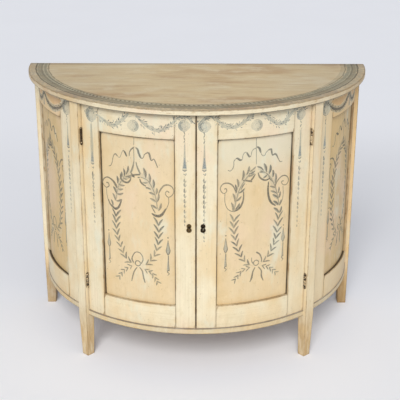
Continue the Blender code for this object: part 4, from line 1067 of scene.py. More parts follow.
# The side wreaths have no crossed sprays at the top: their branches run up to it
WHOLE_BRANCHES = (
    ((-10, 363), (-39, 376), (-60, 418), (-70, 458), (-72, 500), (-70, 545), (-62, 585), (-46, 622),
     (-24, 648), (-4, 664)),
    ((12, 363), (44, 386), (60, 420), (66, 460), (68, 500), (66, 545), (58, 585), (44, 622), (24, 648),
     (6, 664)),
)
RIGHT_WREATH = {
    "washes": (
        ((-64, 560), (-56, 604), (-34, 646), (-4, 672)), ((6, 674), (32, 656), (56, 622), (70, 570)),
    ),
    "ribbon": (
        (((-87, 676), (-79, 673), (-72, 680), (-69, 691), (-69, 701), (-64, 709)),
         (0.9, 1.0, 1.1, 1.1, 1.2, 1.6), 0.35),
        (((-64, 709), (-58, 710), (-50, 704), (-43, 706)), (1.6, 4.2, 4.4, 1.2), 0.85),
        (((-43, 706), (-42, 718), (-37, 726), (-31, 727)), (1.0, 1.0, 1.2, 2.0), 0.3),
        (((-31, 727), (-27, 719), (-22, 712), (-17, 715)), (2.0, 4.4, 3.6, 1.0), 0.85),
        (((-17, 715), (-15, 727), (-9, 734), (-1, 737)), (1.0, 1.0, 1.2, 1.6), 0.3),
        (((0, 741), (8, 735), (11, 727), (14, 719)), (2.0, 5.4, 4.8, 1.6), 0.8),
        (((14, 719), (19, 711), (26, 711), (30, 719), (37, 725)), (1.2, 1.0, 1.0, 1.1, 2.0), 0.3),
        (((36, 725), (46, 727), (49, 717), (52, 708), (60, 711), (66, 705), (71, 695), (78, 684), (86, 684)),
         (2.2, 4.6, 4.0, 2.4, 4.0, 3.4, 1.6, 1.2, 0.9), 0.6),
    ),
    "cord": ((((-2, 768), (0, 686)), 1.0, 0.2),),
    "leaves": (
        ((-20, 665), (-1, 680), 4.6), ((-24, 658), (-3, 667), 4.4), ((-28, 651), (-4, 659), 4.4),
        ((-29, 656), (-22, 684), 5.8), ((-42, 640), (-40, 673), 6.0), ((-54, 620), (-59, 648), 5.0),
        ((-53, 601), (-34, 616), 4.2), ((-60, 602), (-64, 631), 5.2), ((-62, 574), (-71, 603), 5.6),
        ((-62, 576), (-44, 592), 4.4), ((-68, 545), (-75, 575), 5.4), ((-62, 550), (-49, 571), 5.4),
        ((24, 662), (2, 680), 5.0), ((32, 657), (24, 687), 6.4), ((32, 655), (9, 661), 4.6),
        ((41, 650), (46, 680), 6.0), ((22, 641), (38, 652), 4.0), ((54, 638), (54, 663), 5.6),
        ((62, 618), (64, 651), 5.4), ((67, 600), (45, 612), 5.0), ((71, 582), (48, 597), 5.2),
        ((75, 566), (55, 584), 6.0), ((76, 568), (82, 590), 5.0), ((76, 546), (58, 563), 6.0),
        ((78, 544), (87, 563), 5.2), ((80, 520), (60, 541), 5.6), ((80, 519), (89, 541), 5.0),
        ((74, 584), (77, 606), 3.8), ((-34, 632), (-46, 610), 3.0), ((40, 648), (56, 624), 3.0),
    ),
    "sweeps": (
        (((-42, 641), (-30, 639), (-18, 636), (-12, 633)), (1.4, 3.6, 4.4, 1.8), 0.85),
        (((-2, 657), (-9, 646), (-18, 634)), (1.4, 3.6, 3.0), 0.75),
        (((-10, 668), (-32, 644), (-50, 614), (-60, 580), (-66, 548)), (1.4, 2.4, 2.4, 2.2, 1.6), 0.05),
        (((-38, 607), (-38, 583), (-44, 563), (-54, 551), (-67, 545)), (1.4, 3.2, 4.6, 4.8, 2.2), 0.8),
        (((6, 661), (11, 646), (21, 637), (33, 633), (47, 638)), (1.6, 3.6, 4.2, 3.6, 1.6), 0.75),
        (((12, 668), (36, 652), (54, 628), (66, 602), (74, 574), (79, 545)), (1.4, 2.4, 2.4, 2.2, 2.2, 1.6),
         0.05),
        (((41, 628), (40, 600), (44, 575), (53, 558), (68, 546)), (2.0, 4.4, 5.8, 5.4, 2.0), 0.85),
    ),
    "volutes": (
        (((-62, 606), (-68, 622), (-77, 632), (-89, 636), (-101, 633), (-108, 621), (-104, 609), (-96, 604),
          (-89, 611), (-91, 619), (-97, 617)), (1.6, 2.4, 3.2, 2.8, 2.4, 1.8, 1.4, 1.3, 1.3, 1.8, 3.0), 0.45),
        (((-94, 606), (-94, 578), (-87, 557), (-75, 547), (-62, 545)), (1.0, 1.0, 1.2, 1.6, 2.0), 0.3),
        (((63, 604), (67, 619), (76, 630), (86, 637), (98, 637), (108, 629), (110, 616), (101, 607),
          (89, 611), (86, 620), (94, 621)), (3.0, 3.0, 2.6, 2.6, 2.2, 1.8, 1.4, 1.3, 1.3, 1.6, 2.0), 0.5),
        (((91, 607), (93, 579), (89, 557), (80, 545)), (0.9, 1.0, 1.0, 1.2), 0.2),
    ),
    "branches": (
        ((-2, 361), (-16, 366), (-33, 382), (-46, 405), (-55, 430), (-62, 460), (-66, 487), (-67, 520)),
        ((18, 362), (35, 372), (49, 388), (60, 406), (68, 427), (74, 448), (77, 475), (78, 506)),
    ),
    "knot": (
        (((-8, 389), (-7, 375), (3, 361)), (1.4, 1.8, 1.6), 0.35),
        (((6, 405), (18, 396), (25, 379), (24, 368)), (3.4, 3.2, 2.4, 1.6), 0.65),
        (((4, 355), (-3, 340), (-6, 322), (-12, 307)), (1.8, 3.0, 4.4, 1.6), 0.75),
        (((14, 355), (25, 340), (26, 322), (33, 304)), (1.6, 2.6, 3.6, 1.6), 0.6),
    ),
    "ring": (7, 369),
    "sprigs": (((-4, 358), (-27, 354), (-42, 345), (-60, 320)), ((18, 359), (38, 353), (56, 343), (75, 323))),
    "pendants": ((-90, 555, 462, 413, 366, 0.8), (98, 520, 470, 423, 372, 0.6)),
}


def paint_wreath(brush, drawing, load=1.0):
    """Oval wreath of paired leaves under a ribbon bow, tied below, with a volute and a pendant each side."""
    for path in drawing["washes"]:
        brush.stroke(path, (8, 18, 20, 12), tone=0.1, cool=0.5, cover=0.26, edge_tone=0)
    for group, cool in (("cord", 0.1), ("ribbon", 0.15), ("sweeps", 0.1), ("volutes", 0.05), ("knot", 0.08)):
        for path, widths, tone in drawing[group]:
            wide = (np.array(widths) * 1.2 + 1.4) * load
            brush.stroke(path, wide, tone=0.62 + 0.38 * tone, cool=cool, cover=0.76 + 0.24 * tone, layer=1)
    for base, tip, width in drawing["leaves"]:
        side = -1 if base[0] < 0 else 1
        tone, cover = 0.82 + brush.jitter(0.18), 0.88 + brush.jitter(0.12)
        brush.full_leaf(base, tip, (width * 1.12 + 0.9) * load, side=side, tone=tone, cool=0.15, cover=cover)
    for branch in drawing["branches"]:
        paint_branch(brush, branch, load=load)
    for sprig in drawing["sprigs"]:
        paint_branch(brush, sprig, size=0.6, load=load)
    brush.ring(drawing["ring"], 8.5, 3.6, tone=0.75, cool=0.1, cover=0.95, layer=1)
    for across, thread, top, neck, foot, strength in drawing["pendants"]:
        paint_pendant(brush, across, thread, top, neck, foot, strength)


def paint_branch(brush, stem, size=1.0, load=1.0):
    """Pairs of long leaves that open away from the knot along a stem."""
    whole, place_at = route(stem)
    pairs = round(whole / (LEAF_PITCH if size == 1 else SPRIG_PITCH))
    brush.stroke(stem, 0.9 * size + 0.3, tone=0.3, cool=0.1, cover=0.4)
    for number in range(pairs):
        run = whole * (number + 0.7) / pairs
        base = place_at(run)
        ahead = place_at(run + 6) - base
        ahead = ahead / max(np.linalg.norm(ahead), 1e-6) if run + 1 < whole else np.array((0.0, 1.0))
        grown = size * (0.8 + 0.28 * number / pairs) if size == 1 else size
        for side, opening in ((-1, 38), (1, 32)):
            turn = math.radians(opening + brush.jitter(8)) * side
            way = (ahead[0] * math.cos(turn) - ahead[1] * math.sin(turn),
                   ahead[0] * math.sin(turn) + ahead[1] * math.cos(turn))
            length = grown * (27 + brush.jitter(3.5))
            tip = (base[0] + way[0] * length, base[1] + way[1] * length)
            start = (base[0] - ahead[0] * 3 * grown, base[1] - ahead[1] * 3 * grown)
            tone = 0.8 + brush.jitter(0.2)
            width = (grown * 4.8 + 0.7 + brush.jitter(0.5)) * load
            brush.full_leaf(start, tip, width, 0.06 * side, side, tone, 0.05, 0.88 + brush.jitter(0.12))


def paint_pendant(brush, across, thread, top, neck, foot, strength):
    """A thread, a bead, a drop with a dark outline and a small bell, one under the other."""
    look = {"cool": 0.6, "cover": 0.45 + 0.3 * strength}
    dark = {"tone": 0.9, "cool": 0.2, "cover": 0.7 + 0.3 * strength, "layer": 1}
    brush.stroke([(across + 3, thread), (across, top + 10)], 1.2, tone=0.3, cool=0.2, cover=0.45)
    brush.disc((across, top + 7), 2.4, **dark)
    size = 0.7 + 0.35 * strength
    belly = (top + 3 * neck) / 4
    brush.stroke([(across, top), (across, (top + neck) / 2), (across, belly), (across, neck - 1)],
                 (1.4, 8 * size, 14 * size, 5), tone=0.0, **look)
    for side in (-1, 1):
        brush.stroke([(across, top), (across + side * 3.8 * size, (top + neck) / 2),
                      (across + side * 5.6 * size, belly), (across, neck - 2)],
                     (1.6, 2.2, 3.6, 3.0) if side > 0 else (1.0, 1.4, 2.4, 2.6), **dark)
    brush.stroke([(across, neck), (across, (neck + foot) / 2), (across, foot)],
                 (1.6, 5.5 * size, 10 * size), tone=0.1, **look)
    brush.stroke([(across + 1, neck - 2), (across + 1.5, (neck + foot) / 2), (across + 3 * size, foot)],
                 (3.0, 2.2, 3.0), **dark)
    brush.stroke([(across + 4, foot + 6), (across - 3, foot - 2), (across + 3, foot - 8),
                  (across - 3, foot - 15)],
                 (3.4, 3.0, 2.6, 1.4), **dark)


def paint_garland(brush, path, width, tone=0.5, cool=0.35, cover=0.85, load=1.0):
    """Swag of small leaves: a thin wash along the path, then dabs that lie along and across it."""
    wash = [0.5 * width, width, width, 0.6 * width]
    brush.stroke(path, wash, tone=0.0, cool=cool, cover=min(1, cover * 0.5 * load), edge_tone=0.05)
    whole, place_at = route(path)
    for number in range(int(whole / DAB_PITCH)):
        run = min(whole, number * DAB_PITCH + brush.jitter(1.2))
        place = place_at(run)
        ahead = place_at(run + 2) - place
        heading = math.atan2(ahead[1], ahead[0])
        beside = brush.jitter(0.6 * width)
        start = place + np.array((-math.sin(heading), math.cos(heading))) * beside
        heading += brush.jitter(0.5) + 1.6 * beside / width
        tip = start + np.array((math.cos(heading), math.sin(heading))) * (7.5 + brush.jitter(2.5))
        darker = 0.3 if beside > 0 else 0.0
        shade = max(0.0, tone - 0.1 + darker + brush.jitter(0.45))
        look = {"tone": min(1, shade), "cool": cool, "cover": min(1, cover * (0.3 + 0.65 * shade) * load)}
        brush.leaf(start, tip, 1.9 + brush.jitter(0.6), layer=1, **look)


def paint_rosette(brush, centre, radius, dark_side=-1, tone=0.45, cool=0.3, cover=0.9):
    """Round flower: a thin wash, a darker crescent on one side, and short petals about a pale middle."""
    brush.disc(centre, radius * 1.08, tone=0.0, cool=cool, cover=cover * 0.4, edge_tone=0.05)
    start = math.pi * (0.55 if dark_side < 0 else -0.45)
    look = {"cool": cool, "cover": cover * 0.85}
    crescent = [radius * share for share in (0.15, 0.5, 0.5, 0.15)]
    brush.ring(centre, radius * 0.7, crescent, start, math.pi * 0.9, tone=tone * 0.7, layer=1, **look)
    rim = (1.0, 2.4, 2.8, 1.0)
    brush.ring(centre, radius * 0.98, rim, start - 0.5, math.pi * 1.3, tone=tone + 0.2, layer=2, **look)
    brush.ring(centre, radius * 0.36, 1.8, start, 4.4, tone=tone + 0.1, cool=cool, cover=cover * 0.6, layer=2)
    for number in range(13):
        turn = number * math.tau / 13 + brush.jitter(0.2)
        way = np.array((math.cos(turn), math.sin(turn)))
        deep = 0.5 + 0.5 * math.cos(turn - start - math.pi * 0.45)
        shade = tone * (0.4 + 1.2 * deep) * (1 if number % 2 else 0.5)
        brush.leaf(np.array(centre) + way * radius * 0.42, np.array(centre) + way * radius * 0.98, 2.8,
                   tone=min(1, shade), cool=cool * 0.6, cover=cover * (0.35 + 0.6 * deep), layer=2)


def paint_drop(brush, across, beads, tassel, chain_end, wide=1.0):
    """Beads, a long tassel and a chain of small husks, hung down a stile."""
    for number, height in enumerate(beads):
        shift = 2 if number % 2 else -2
        brush.leaf((across + shift, height + 6), (across - shift, height - 5), 2.6 + brush.jitter(0.8),
                   tone=0.8, cool=0.25, cover=0.9)
    high, low = tassel
    brush.stroke([(across, high), (across, (high + low) / 2), (across, low + 14), (across, low)],
                 (3.5 * wide, 7.5 * wide, 13.0, 17.0), tone=0.1, cool=0.35, cover=0.58)
    brush.stroke([(across + 1, high + 6), (across + 1, (high + low) / 2), (across + 1, low + 4)],
                 (1.4, 2.2, 5.0), tone=0.6, cool=0.3, cover=0.75, layer=1)
    brush.stroke([(across, low + 38), (across, low + 3)], (2.0, 14.0), tone=0.5, cool=1.05, cover=0.9,
                 layer=2)
    brush.stroke([(across - 7, low), (across, low - 3), (across + 7, low)], (2.4, 5.2, 2.4), tone=0.85,
                 cool=0.5)
    brush.stroke([(across - 4, low - 12), (across + 3, low - 16), (across + 4, low - 9)], 2.8, tone=0.7,
                 cool=0.3)
    brush.stroke([(across, low - 18), (across + 1, (low + chain_end) / 2), (across, chain_end)], 1.1,
                 tone=0.4, cool=0.2, cover=0.45)
    height, size = low - 26, 1.0
    while height > chain_end:
        lean = brush.jitter(1.2)
        strong = 0.5 + 0.5 * brush.random.random()
        drop = (7 + 12 * strong) * size
        brush.leaf((across - lean, height), (across + lean, height - drop), (1.6 + 2.6 * strong) * size + 0.6,
                   tone=0.5 + 0.5 * strong, cool=0.3, cover=0.5 + 0.45 * strong * size)
        if strong > 0.58:
            for side in (-1, 1):
                brush.leaf((across, height - drop), (across + side * 4.6 * size, height - 6 * size),
                           2.2 * size + 0.5, tone=0.6, cool=0.3, cover=0.25 + 0.4 * size)
        height -= 12 + 6 * brush.random.random()
        size = max(0.55, size - 0.035)


def body_of_door(word):
    return f"{word}_door"


class OBJECT_OT_cabinet_posts(bpy.types.Operator):
    """Makes the four painted posts, with the recesses that their hinge leaves are let into"""

    bl_idname = "cabinet.posts"
    bl_label = "Posts"

    def execute(self, context):
        for word, side in SIDES.items():
            post = post_piece(f"{word}_front_post")
            azimuth = front_post_azimuth(word)
            leaves = [f"{word}_{place}_hinge_post_leaf" for place in ("lower", "upper")]
            let_in(post, leaves, azimuth)
            # The right back post gets the darker yellow paint, painted shade; the left one a paler cream,
            # painted light
            paint = "milk_paint_sunned" if word == "right" else "milk_paint_washed"
            post_piece(f"{word}_back_post", azimuth=side * math.pi / 2, paint=paint)
        return {"FINISHED"}


def front_post_azimuth(word):
    return head_azimuth(node_points(f"{word}_front_post"))


class OBJECT_OT_cabinet_top(bpy.types.Operator):
    """Makes the rubbed half-round top and the board under the doors"""

    bl_idname = "cabinet.top"
    bl_label = "Top and base"

    def execute(self, context):
        wear = context.scene.cabinet_wear
        radius = max(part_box("top")[1].x, -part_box("top")[0].x)
        top = half_round_piece("top", lambda azimuth: radius, wear.top_arris,
                               ("rubbed_paint_top", "chipped_paint_edge"), lowered=TOP_LOWERED)
        for face in top.data.polygons:
            face.material_index = 0 if face.normal.z > FACES_UP else 1
        points = node_points("bottom_board")
        around = np.hypot(points[:, 0], BACK - points[:, 1])
        turn = np.abs(np.arctan2(points[:, 0], BACK - points[:, 1]))
        corner = abs(front_post_azimuth("right"))
        front, side = around[turn < corner].max(), around[turn > corner + PAST_POST].max()
        base = half_round_piece("bottom_board", lambda azimuth: front if abs(azimuth) < corner else side,
                                wear.arris, ("milk_paint_scuffed", "dusty_pine_long"))
        for face in base.data.polygons:
            face.material_index = 1 if abs(face.normal.z) > FACES_FLAT else 0
        return {"FINISHED"}


def frame_boards(word, part, body, stiles, top_paint="milk_paint_cream", last_paint="milk_paint_cream"):
    """The stiles, rails and panel of one frame."""
    wear = bpy.context.scene.cabinet_wear
    panel = Board(f"{word}_{part}_panel")
    for stile, paint in zip(stiles, ("milk_paint_cream", last_paint)):
        node = f"{word}_{part}_{stile}"
        # How dark the recess wall on a stile is: painted shade with dirt, stronger on the doors
        recess = (1 if panel.start[1] > Board(node).start[1] else -1) * (1 if part == "door" else 0.5)
        board_piece(node, body, paint, wear.arris, recess=recess)
    for rail, paint in (("top_rail", top_paint), ("bottom_rail", "milk_paint_cream")):
        # How dark the rails' upper and lower faces are: painted shade with dirt, lighter on the doors
        ledge = 0.2 if part == "door" else 1.0
        board_piece(f"{word}_{part}_{rail}", body, paint, wear.joint, lengthwise=True,
                    ledge=ledge)
    rail_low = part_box(f"{word}_{part}_top_rail")[0].z
    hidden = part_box(f"{word}_{part}_panel")[1].z - rail_low
    # The side panels get the darker tan: painted shade with dirt
    paint = "milk_paint_peach" if part == "door" else "milk_paint_tan"
    board_piece(f"{word}_{part}_panel", body, paint, PANEL_ARRIS, hidden=hidden)


class OBJECT_OT_cabinet_sides(bpy.types.Operator):
    """Makes the fixed curved frames and panels at both sides"""

    bl_idname = "cabinet.sides"
    bl_label = "Side frames"

    def execute(self, context):
        for word in SIDES:
            # The side top rails under the top and the right back stile get the darker yellow paint: painted
            # shade
            last = "milk_paint_sunned" if word == "right" else "milk_paint_cream"
            frame_boards(word, "side", "carcass", ("front_stile", "back_stile"), "milk_paint_sunned", last)
        return {"FINISHED"}


class OBJECT_OT_cabinet_doors(bpy.types.Operator):
    """Makes the two curved doors, with recesses for the hinges, the lock and the keyhole"""

    bl_idname = "cabinet.doors"
    bl_label = "Doors"

    def execute(self, context):
        for word in SIDES:
            frame_boards(word, "door", body_of_door(word), ("meeting_stile", "hinge_stile"))
            hinge_stile = bpy.data.objects[f"{word}_door_hinge_stile_board"]
            leaves = [f"{word}_{place}_hinge_door_leaf" for place in ("lower", "upper")]
            let_in(hinge_stile, leaves, front_post_azimuth(word))
            meeting_stile = bpy.data.objects[f"{word}_door_meeting_stile_board"]
            let_in(meeting_stile, ["lock_case" if word == "right" else "lock_strike"], 0)
            drill_keyhole(meeting_stile, f"{word}_door_keyplate")
        return {"FINISHED"}


def drill_keyhole(piece, plate):
    """Cuts the keyhole's shaft through the stile behind its plate."""
    low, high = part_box(plate)
    middle = (low + high) / 2
    shape = bmesh.new()
    bmesh.ops.create_cube(shape, size=1)
    for vert in shape.verts:
        vert.co = (middle.x + vert.co.x * KEYHOLE_WIDTH,
                   middle.y + (vert.co.y + KEYHOLE_SHIFT) * KEYHOLE_DEPTH,
                   middle.z - KEYHOLE_DROP + vert.co.z * KEYHOLE_HEIGHT)
    cut_away(piece, shape)


class OBJECT_OT_cabinet_door_brushwork(bpy.types.Operator):
    """Paints the swags, rosettes, tassels and wreaths on the doors"""

    bl_idname = "cabinet.door_brushwork"
    bl_label = "Door brushwork"

    def execute(self, context):
        for word, side in SIDES.items():
            rail, panel = Board(f"{word}_door_top_rail"), Board(f"{word}_door_panel")
            brush = curved_brush(rail, panel.middle, SEEDS["door_frame"] + side)
            paint_door_frame(brush, LEFT_FRAME if side < 0 else RIGHT_FRAME)
            brush.piece(f"{word}_door_frame_brushwork", body_of_door(word), "distemper_on_frame",
                        "cream_paint")
            brush = curved_brush(panel, panel.middle, SEEDS["door_panel"] + side)
            paint_wreath(brush, LEFT_WREATH if side < 0 else RIGHT_WREATH)
            brush.piece(f"{word}_door_panel_brushwork", body_of_door(word), "distemper_on_panel",
                        "panel_paint")
        return {"FINISHED"}


# Swags, rosettes and drops of each door's frame, in millimetres right of its middle and above the floor
LEFT_FRAME = {
    "swags": (
        ((-126, 823), (-102, 811), (-84, 802), (-67, 798), (-42, 814), (-24, 832), (-16, 840)),
        ((6, 837), (23, 821), (39, 809), (59, 799), (77, 798), (95, 805), (113, 820), (124, 833)),
    ),
    "arches": (
        ((-170, 817), (-158, 832), (-143, 836), (-128, 826)),
        ((118, 829), (132, 838), (150, 841), (166, 834), (173, 822)),
    ),
    "patera": (-3, 805),
    "rosettes": ((-146, 816, 19, 0.65), (148, 815, 16.5, 0.6)),
    "drops": ((-147, (), (790, 668), 468, 1.8), (149, (794, 785, 776, 767), (760, 682), 510, 1.0)),
}
RIGHT_FRAME = {
    "swags": (
        ((-128, 837), (-115, 825), (-103, 814), (-87, 809), (-68, 809), (-52, 816), (-36, 827), (-23, 839),
         (-13, 843)),
        ((6, 843), (20, 838), (36, 824), (52, 811), (68, 804), (84, 808), (102, 824), (118, 838), (128, 842)),
    ),
    "arches": (
        ((-177, 818), (-166, 830), (-150, 841), (-126, 838)),
        ((122, 838), (134, 845), (150, 842), (159, 832)),
    ),
    "patera": (-5, 808),
    "rosettes": ((-158, 813, 17.5, 1.1), (144, 821, 16, 0.9)),
    "drops": ((-158, (792, 783, 774, 765), (758, 682), 462, 1.0), (145, (798, 786), (774, 688), 470, 1.2)),
}


def paint_door_frame(brush, drawing):
    """Two swags, a patera between them, and a rosette with its drop on each stile."""
    for swag in drawing["swags"]:
        paint_garland(brush, swag, 13, tone=0.6, cool=0.55, cover=1.0, load=1.2)
    for across, height, radius, tone in drawing["rosettes"]:
        paint_rosette(brush, (across, height), radius, tone=tone, cool=0.9, cover=1.0)
    for arch in drawing["arches"]:
        paint_garland(brush, arch, 7, tone=0.9, cool=0.4, load=1.5)
    paint_rosette(brush, drawing["patera"], 17, dark_side=1, tone=0.5, cool=0.45)
    for across, beads, tassel, end, wide in drawing["drops"]:
        paint_drop(brush, across, beads, tassel, end, wide)


class OBJECT_OT_cabinet_side_brushwork(bpy.types.Operator):
    """Paints the swag, drop and wreath at each side"""

    bl_idname = "cabinet.side_brushwork"
    bl_label = "Side brushwork"

    def execute(self, context):
        for word, side in SIDES.items():
            stile, panel = Board(f"{word}_side_front_stile"), Board(f"{word}_side_panel")
            brush = curved_brush(stile, stile.middle, SEEDS["side_frame"] + side)
            paint_side_frame(brush, side)
            brush.piece(f"{word}_side_frame_brushwork", "carcass", "distemper_on_frame", "cream_paint")
            brush = curved_brush(stile, stile.middle, SEEDS["side_rail"] + side)
            paint_side_rail(brush, side)
            brush.piece(f"{word}_side_rail_brushwork", "carcass", "distemper_on_sunned", "cream_paint")
            brush = curved_brush(panel, panel.middle, SEEDS["side_panel"] + side)
            drawing = LEFT_WREATH if side < 0 else RIGHT_WREATH
            plain = {**drawing, "leaves": (), "sweeps": (), "branches": WHOLE_BRANCHES}
            paint_wreath(brush, plain, load=1.15)
            brush.piece(f"{word}_side_panel_brushwork", "carcass", "distemper_on_side", "panel_paint")
        return {"FINISHED"}


def paint_side_frame(brush, side):
    """A rosette with its drop on the front stile."""
    paint_rosette(brush, (3 * side, 812), 21, tone=0.7, cool=0.4, cover=1.0)
    paint_garland(brush, ((-16 * side, 816), (-4 * side, 834), (16 * side, 832)), 7, tone=0.8, load=1.4)
    paint_drop(brush, 2 * side, (786, 776, 766), (758, 690), 470, 0.9)


def paint_side_rail(brush, side):
    """Two deep dark swags on the rail behind, with a tassel between, and a rosette where they end."""
    near = ((8, 831), (22, 817), (42, 804), (72, 795), (100, 794), (124, 800), (146, 814), (164, 830))
    far = ((166, 829), (180, 808), (204, 796), (230, 798), (250, 812), (264, 829))
    for swag in (near, far):
        path = [(across * side, height) for across, height in swag]
        left, right = swag[1][0] + 8, swag[-2][0] - 8
        middle = (left + right) / 2
        stained = ((left * side, 828), (middle * side, 818), (right * side, 828))
        brush.stroke(stained, (8, 30, 8), tone=0.0, cool=-1.0, cover=0.55, edge_tone=0)
        brush.stroke(path, (14, 22, 27, 22, 14), tone=0.0, cool=0.2, cover=0.6, edge_tone=0.05)
        brush.stroke(path, (5, 9, 11, 9, 5), tone=0.95, cool=0.15, cover=1.0, layer=1)
        paint_garland(brush, path, 9, tone=1.1, cool=0.1, load=1.3)
    brush.stroke([(165 * side, 826), (167 * side, 804), (168 * side, 782)], (4, 7, 12), tone=0.5, cool=0.5,
                 cover=0.9)
    paint_rosette(brush, (286 * side, 812), 18, tone=0.6, cool=0.35, cover=1.0)


class OBJECT_OT_cabinet_top_border(bpy.types.Operator):
    """Paints the guilloche border along the top's curve"""

    bl_idname = "cabinet.top_border"
    bl_label = "Top border"

    def execute(self, context):
        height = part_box("top")[1].z - TOP_LOWERED
        brush = Brush(flat_ground(height, BORDER_RADIUS), SEEDS["top_border"])
        paint_border(brush, BORDER_RADIUS / MM)
        brush.piece("top_border_brushwork", "carcass", "distemper_on_top", "top_paint")
        return {"FINISHED"}


def paint_border(brush, radius):
    """A slate band with dark edges, fine lines in its outer half and a chain of bare links in its inner."""
    reach = radius * (math.pi / 2 - 0.006)
    run = np.linspace(-reach, reach, 90)
    # Each band: how far out its middle lies, its width, tone, blueness and cover, and its layer
    bands = ((1, 44, 0.62, 0.1, 0.82, 0), (-20, 4, 0.9, 0.0, 0.75, 1), (20.5, 4, 1.0, 0.0, 0.9, 1),
             (-8.5, 17, 0.1, 0.0, 0.75, 1), (2.5, 3.0, 1.0, 0.05, 0.85, 1), (9, 4, 0.9, 0.1, 0.6, 1),
             (15, 2, 0.3, 0.1, 0.5, 1))
    for out, width, tone, cool, cover, layer in bands:
        path = [(along, out + brush.jitter(0.8)) for along in run]
        widths = [width * (1 + brush.jitter(0.2)) for along in run]
        brush.stroke(path, widths, tone=tone, cool=cool, cover=cover, layer=layer, edge_tone=0)
    halo = [(along, -27) for along in run if along > 0.55 * reach]
    brush.stroke(halo, (4, 16, 20, 18), tone=0.6, cool=0.1, cover=0.3, edge_tone=0)
    along = 12 - reach
    while along < reach - 12:
        far = along > 0.4 * reach
        lean, reach_out, width = (2, 6.5, 5) if far else (3.6, 4.6, 7.5)
        brush.stroke([(along - lean, -9 - reach_out), (along, -9), (along + lean, -9 + reach_out)],
                     (0.5 * width, width, width, width, 0.5 * width), tone=1.0, cool=0.1,
                     cover=0.95 + brush.jitter(0.05), layer=2, edge_tone=0)
        along += (10.5 if far else 14) + brush.jitter(0.8)


class OBJECT_OT_cabinet_ironwork(bpy.types.Operator):
    """Finishes the hinges, the lock, the surface bolt and the keyhole plates"""

    bl_idname = "cabinet.ironwork"
    bl_label = "Ironwork"

    def execute(self, context):
        for name, node in frame["nodes"].items():
            if "left_upper_hinge" in name:
                dress_node(node, "worn_painted_iron")
            elif "_hinge_pin" in name or "_leaf" in name:
                dress_node(node, "well_painted_iron" if "right_upper" in name else "painted_iron")
            elif "lock_" in name or "bolt_" in name:
                dress_node(node, "rusted_wrought_iron")
            elif "keyplate" in name:
                dress_node(node, "blackened_brass" if "right" in name else "tarnished_brass")
        return {"FINISHED"}


class OBJECT_OT_cabinet_inside(bpy.types.Operator):
    """Finishes the bare boards inside: shelf, cleats, rails and back"""

    bl_idname = "cabinet.inside"
    bl_label = "Inside"

    def execute(self, context):
        for name, node in frame["nodes"].items():
            if "back_board" in name:
                dress_node(node, "aged_pine_upright")
            elif name in ("shelf", "front_top_rail", "back_top_rail") or "cleat" in name:
                dress_node(node, "aged_pine_long")
        return {"FINISHED"}


def dress_node(node, finish):
    """Gives a CAD node its material, and welds and shades it without moving a point."""
    node.data.materials.clear()
    node.data.materials.append(finish_of(finish))
    weld = node.modifiers.new("weld", "WELD")
    weld.merge_threshold = WELD
    for face in node.data.polygons:
        face.use_smooth = False


# The camera: focal length in pixels of a 400-pixel frame, place in metres, and turns in radians
FRAME_PIXELS = 400
FOCAL_PIXELS = 991.1
SENSOR_MM = 36
CAMERA_PLACE = Vector((0.0139, -2.9331, 1.6563))
CAMERA_YAW, CAMERA_PITCH, CAMERA_ROLL = -0.0009, 0.3790, 0.0028
# The stage: how far its floor reaches, in metres, and its divisions; for each lamp, its direction from the
# cabinet and its width in degrees
FLOOR_REACH, FLOOR_PARTS = 9, 8
FRONT_WAY, FRONT_ANGLE = Vector((-0.09, -0.78, 0.62)), 28
OVERHEAD_WAY, OVERHEAD_ANGLE = Vector((0.12, -0.7, 1)), 60


class OBJECT_OT_cabinet_stage(bpy.types.Operator):
    """Sets the pale floor, the soft lamps and the camera"""

    bl_idname = "cabinet.stage"
    bl_label = "Stage"

    def execute(self, context):
        stage = context.scene.cabinet_stage
        shape = bmesh.new()
        bmesh.ops.create_grid(shape, x_segments=FLOOR_PARTS, y_segments=FLOOR_PARTS, size=FLOOR_REACH)
        mesh = bpy.data.meshes.new("studio_floor")
        shape.to_mesh(mesh)
        shape.free()
        floor = place_object("studio_floor", mesh)
        mesh.materials.append(studio_floor(stage))
        world = bpy.data.worlds.new("studio")
        world.use_nodes = True
        sky = world.node_tree.nodes["Background"].inputs
        sky["Color"].default_value = (*stage.sky_colour, 1)
        sky["Strength"].default_value = stage.sky
        context.scene.world = world
        soft_lamp("front_lamp", stage.front, FRONT_WAY, FRONT_ANGLE)
        soft_lamp("overhead_lamp", stage.overhead, OVERHEAD_WAY, OVERHEAD_ANGLE)
        set_camera(context.scene)
        context.scene.view_settings.view_transform = "Standard"
        return {"FINISHED"}


def studio_floor(stage):
    """Matt painted board: pale, without sheen, so soft shadow shows on it; a band of painted shade behind and
    beside the cabinet stands for a backdrop's fold, strongest on the right.
    """
    made, tree, shader, place = blank_material("matt_studio_board")
    grain = mottle(tree, place, (600, 600, 600), MM, 2.0)
    sides = put(tree, "SeparateXYZ", {0: place}).outputs
    # Painted shade: a darker band from 0.1 to 2.5 m back, stronger to the right, as where a backdrop would
    # curve up
    fold_shade = ((sides["Y"], 0.1, 0.9), (sides["Y"], 2.5, 1.5), (sides["X"], -1, 1, 0.4, 1.0))
    colour = coat(tree, stage.floor, shaded(stage.floor, (0.97, 0.97, 0.97)), grain)
    colour = coat(tree, colour, shaded(stage.floor, (0.87, 0.87, 0.87)), *fold_shade)
    tree.links.new(colour, shader.inputs["Base Color"])
    shader.inputs["Roughness"].default_value = 0.9
    shader.inputs["Specular IOR Level"].default_value = 0.1
    return made


def soft_lamp(name, strength, way, angle):
    """A distant soft lamp: way points from the cabinet to it, angle is how wide it looks."""
    data = bpy.data.lights.new(name, "SUN")
    data.energy = strength
    data.angle = math.radians(angle)
    lamp = place_object(name, data)
    lamp.rotation_mode = "QUATERNION"
    lamp.rotation_quaternion = way.normalized().to_track_quat("Z", "Y")


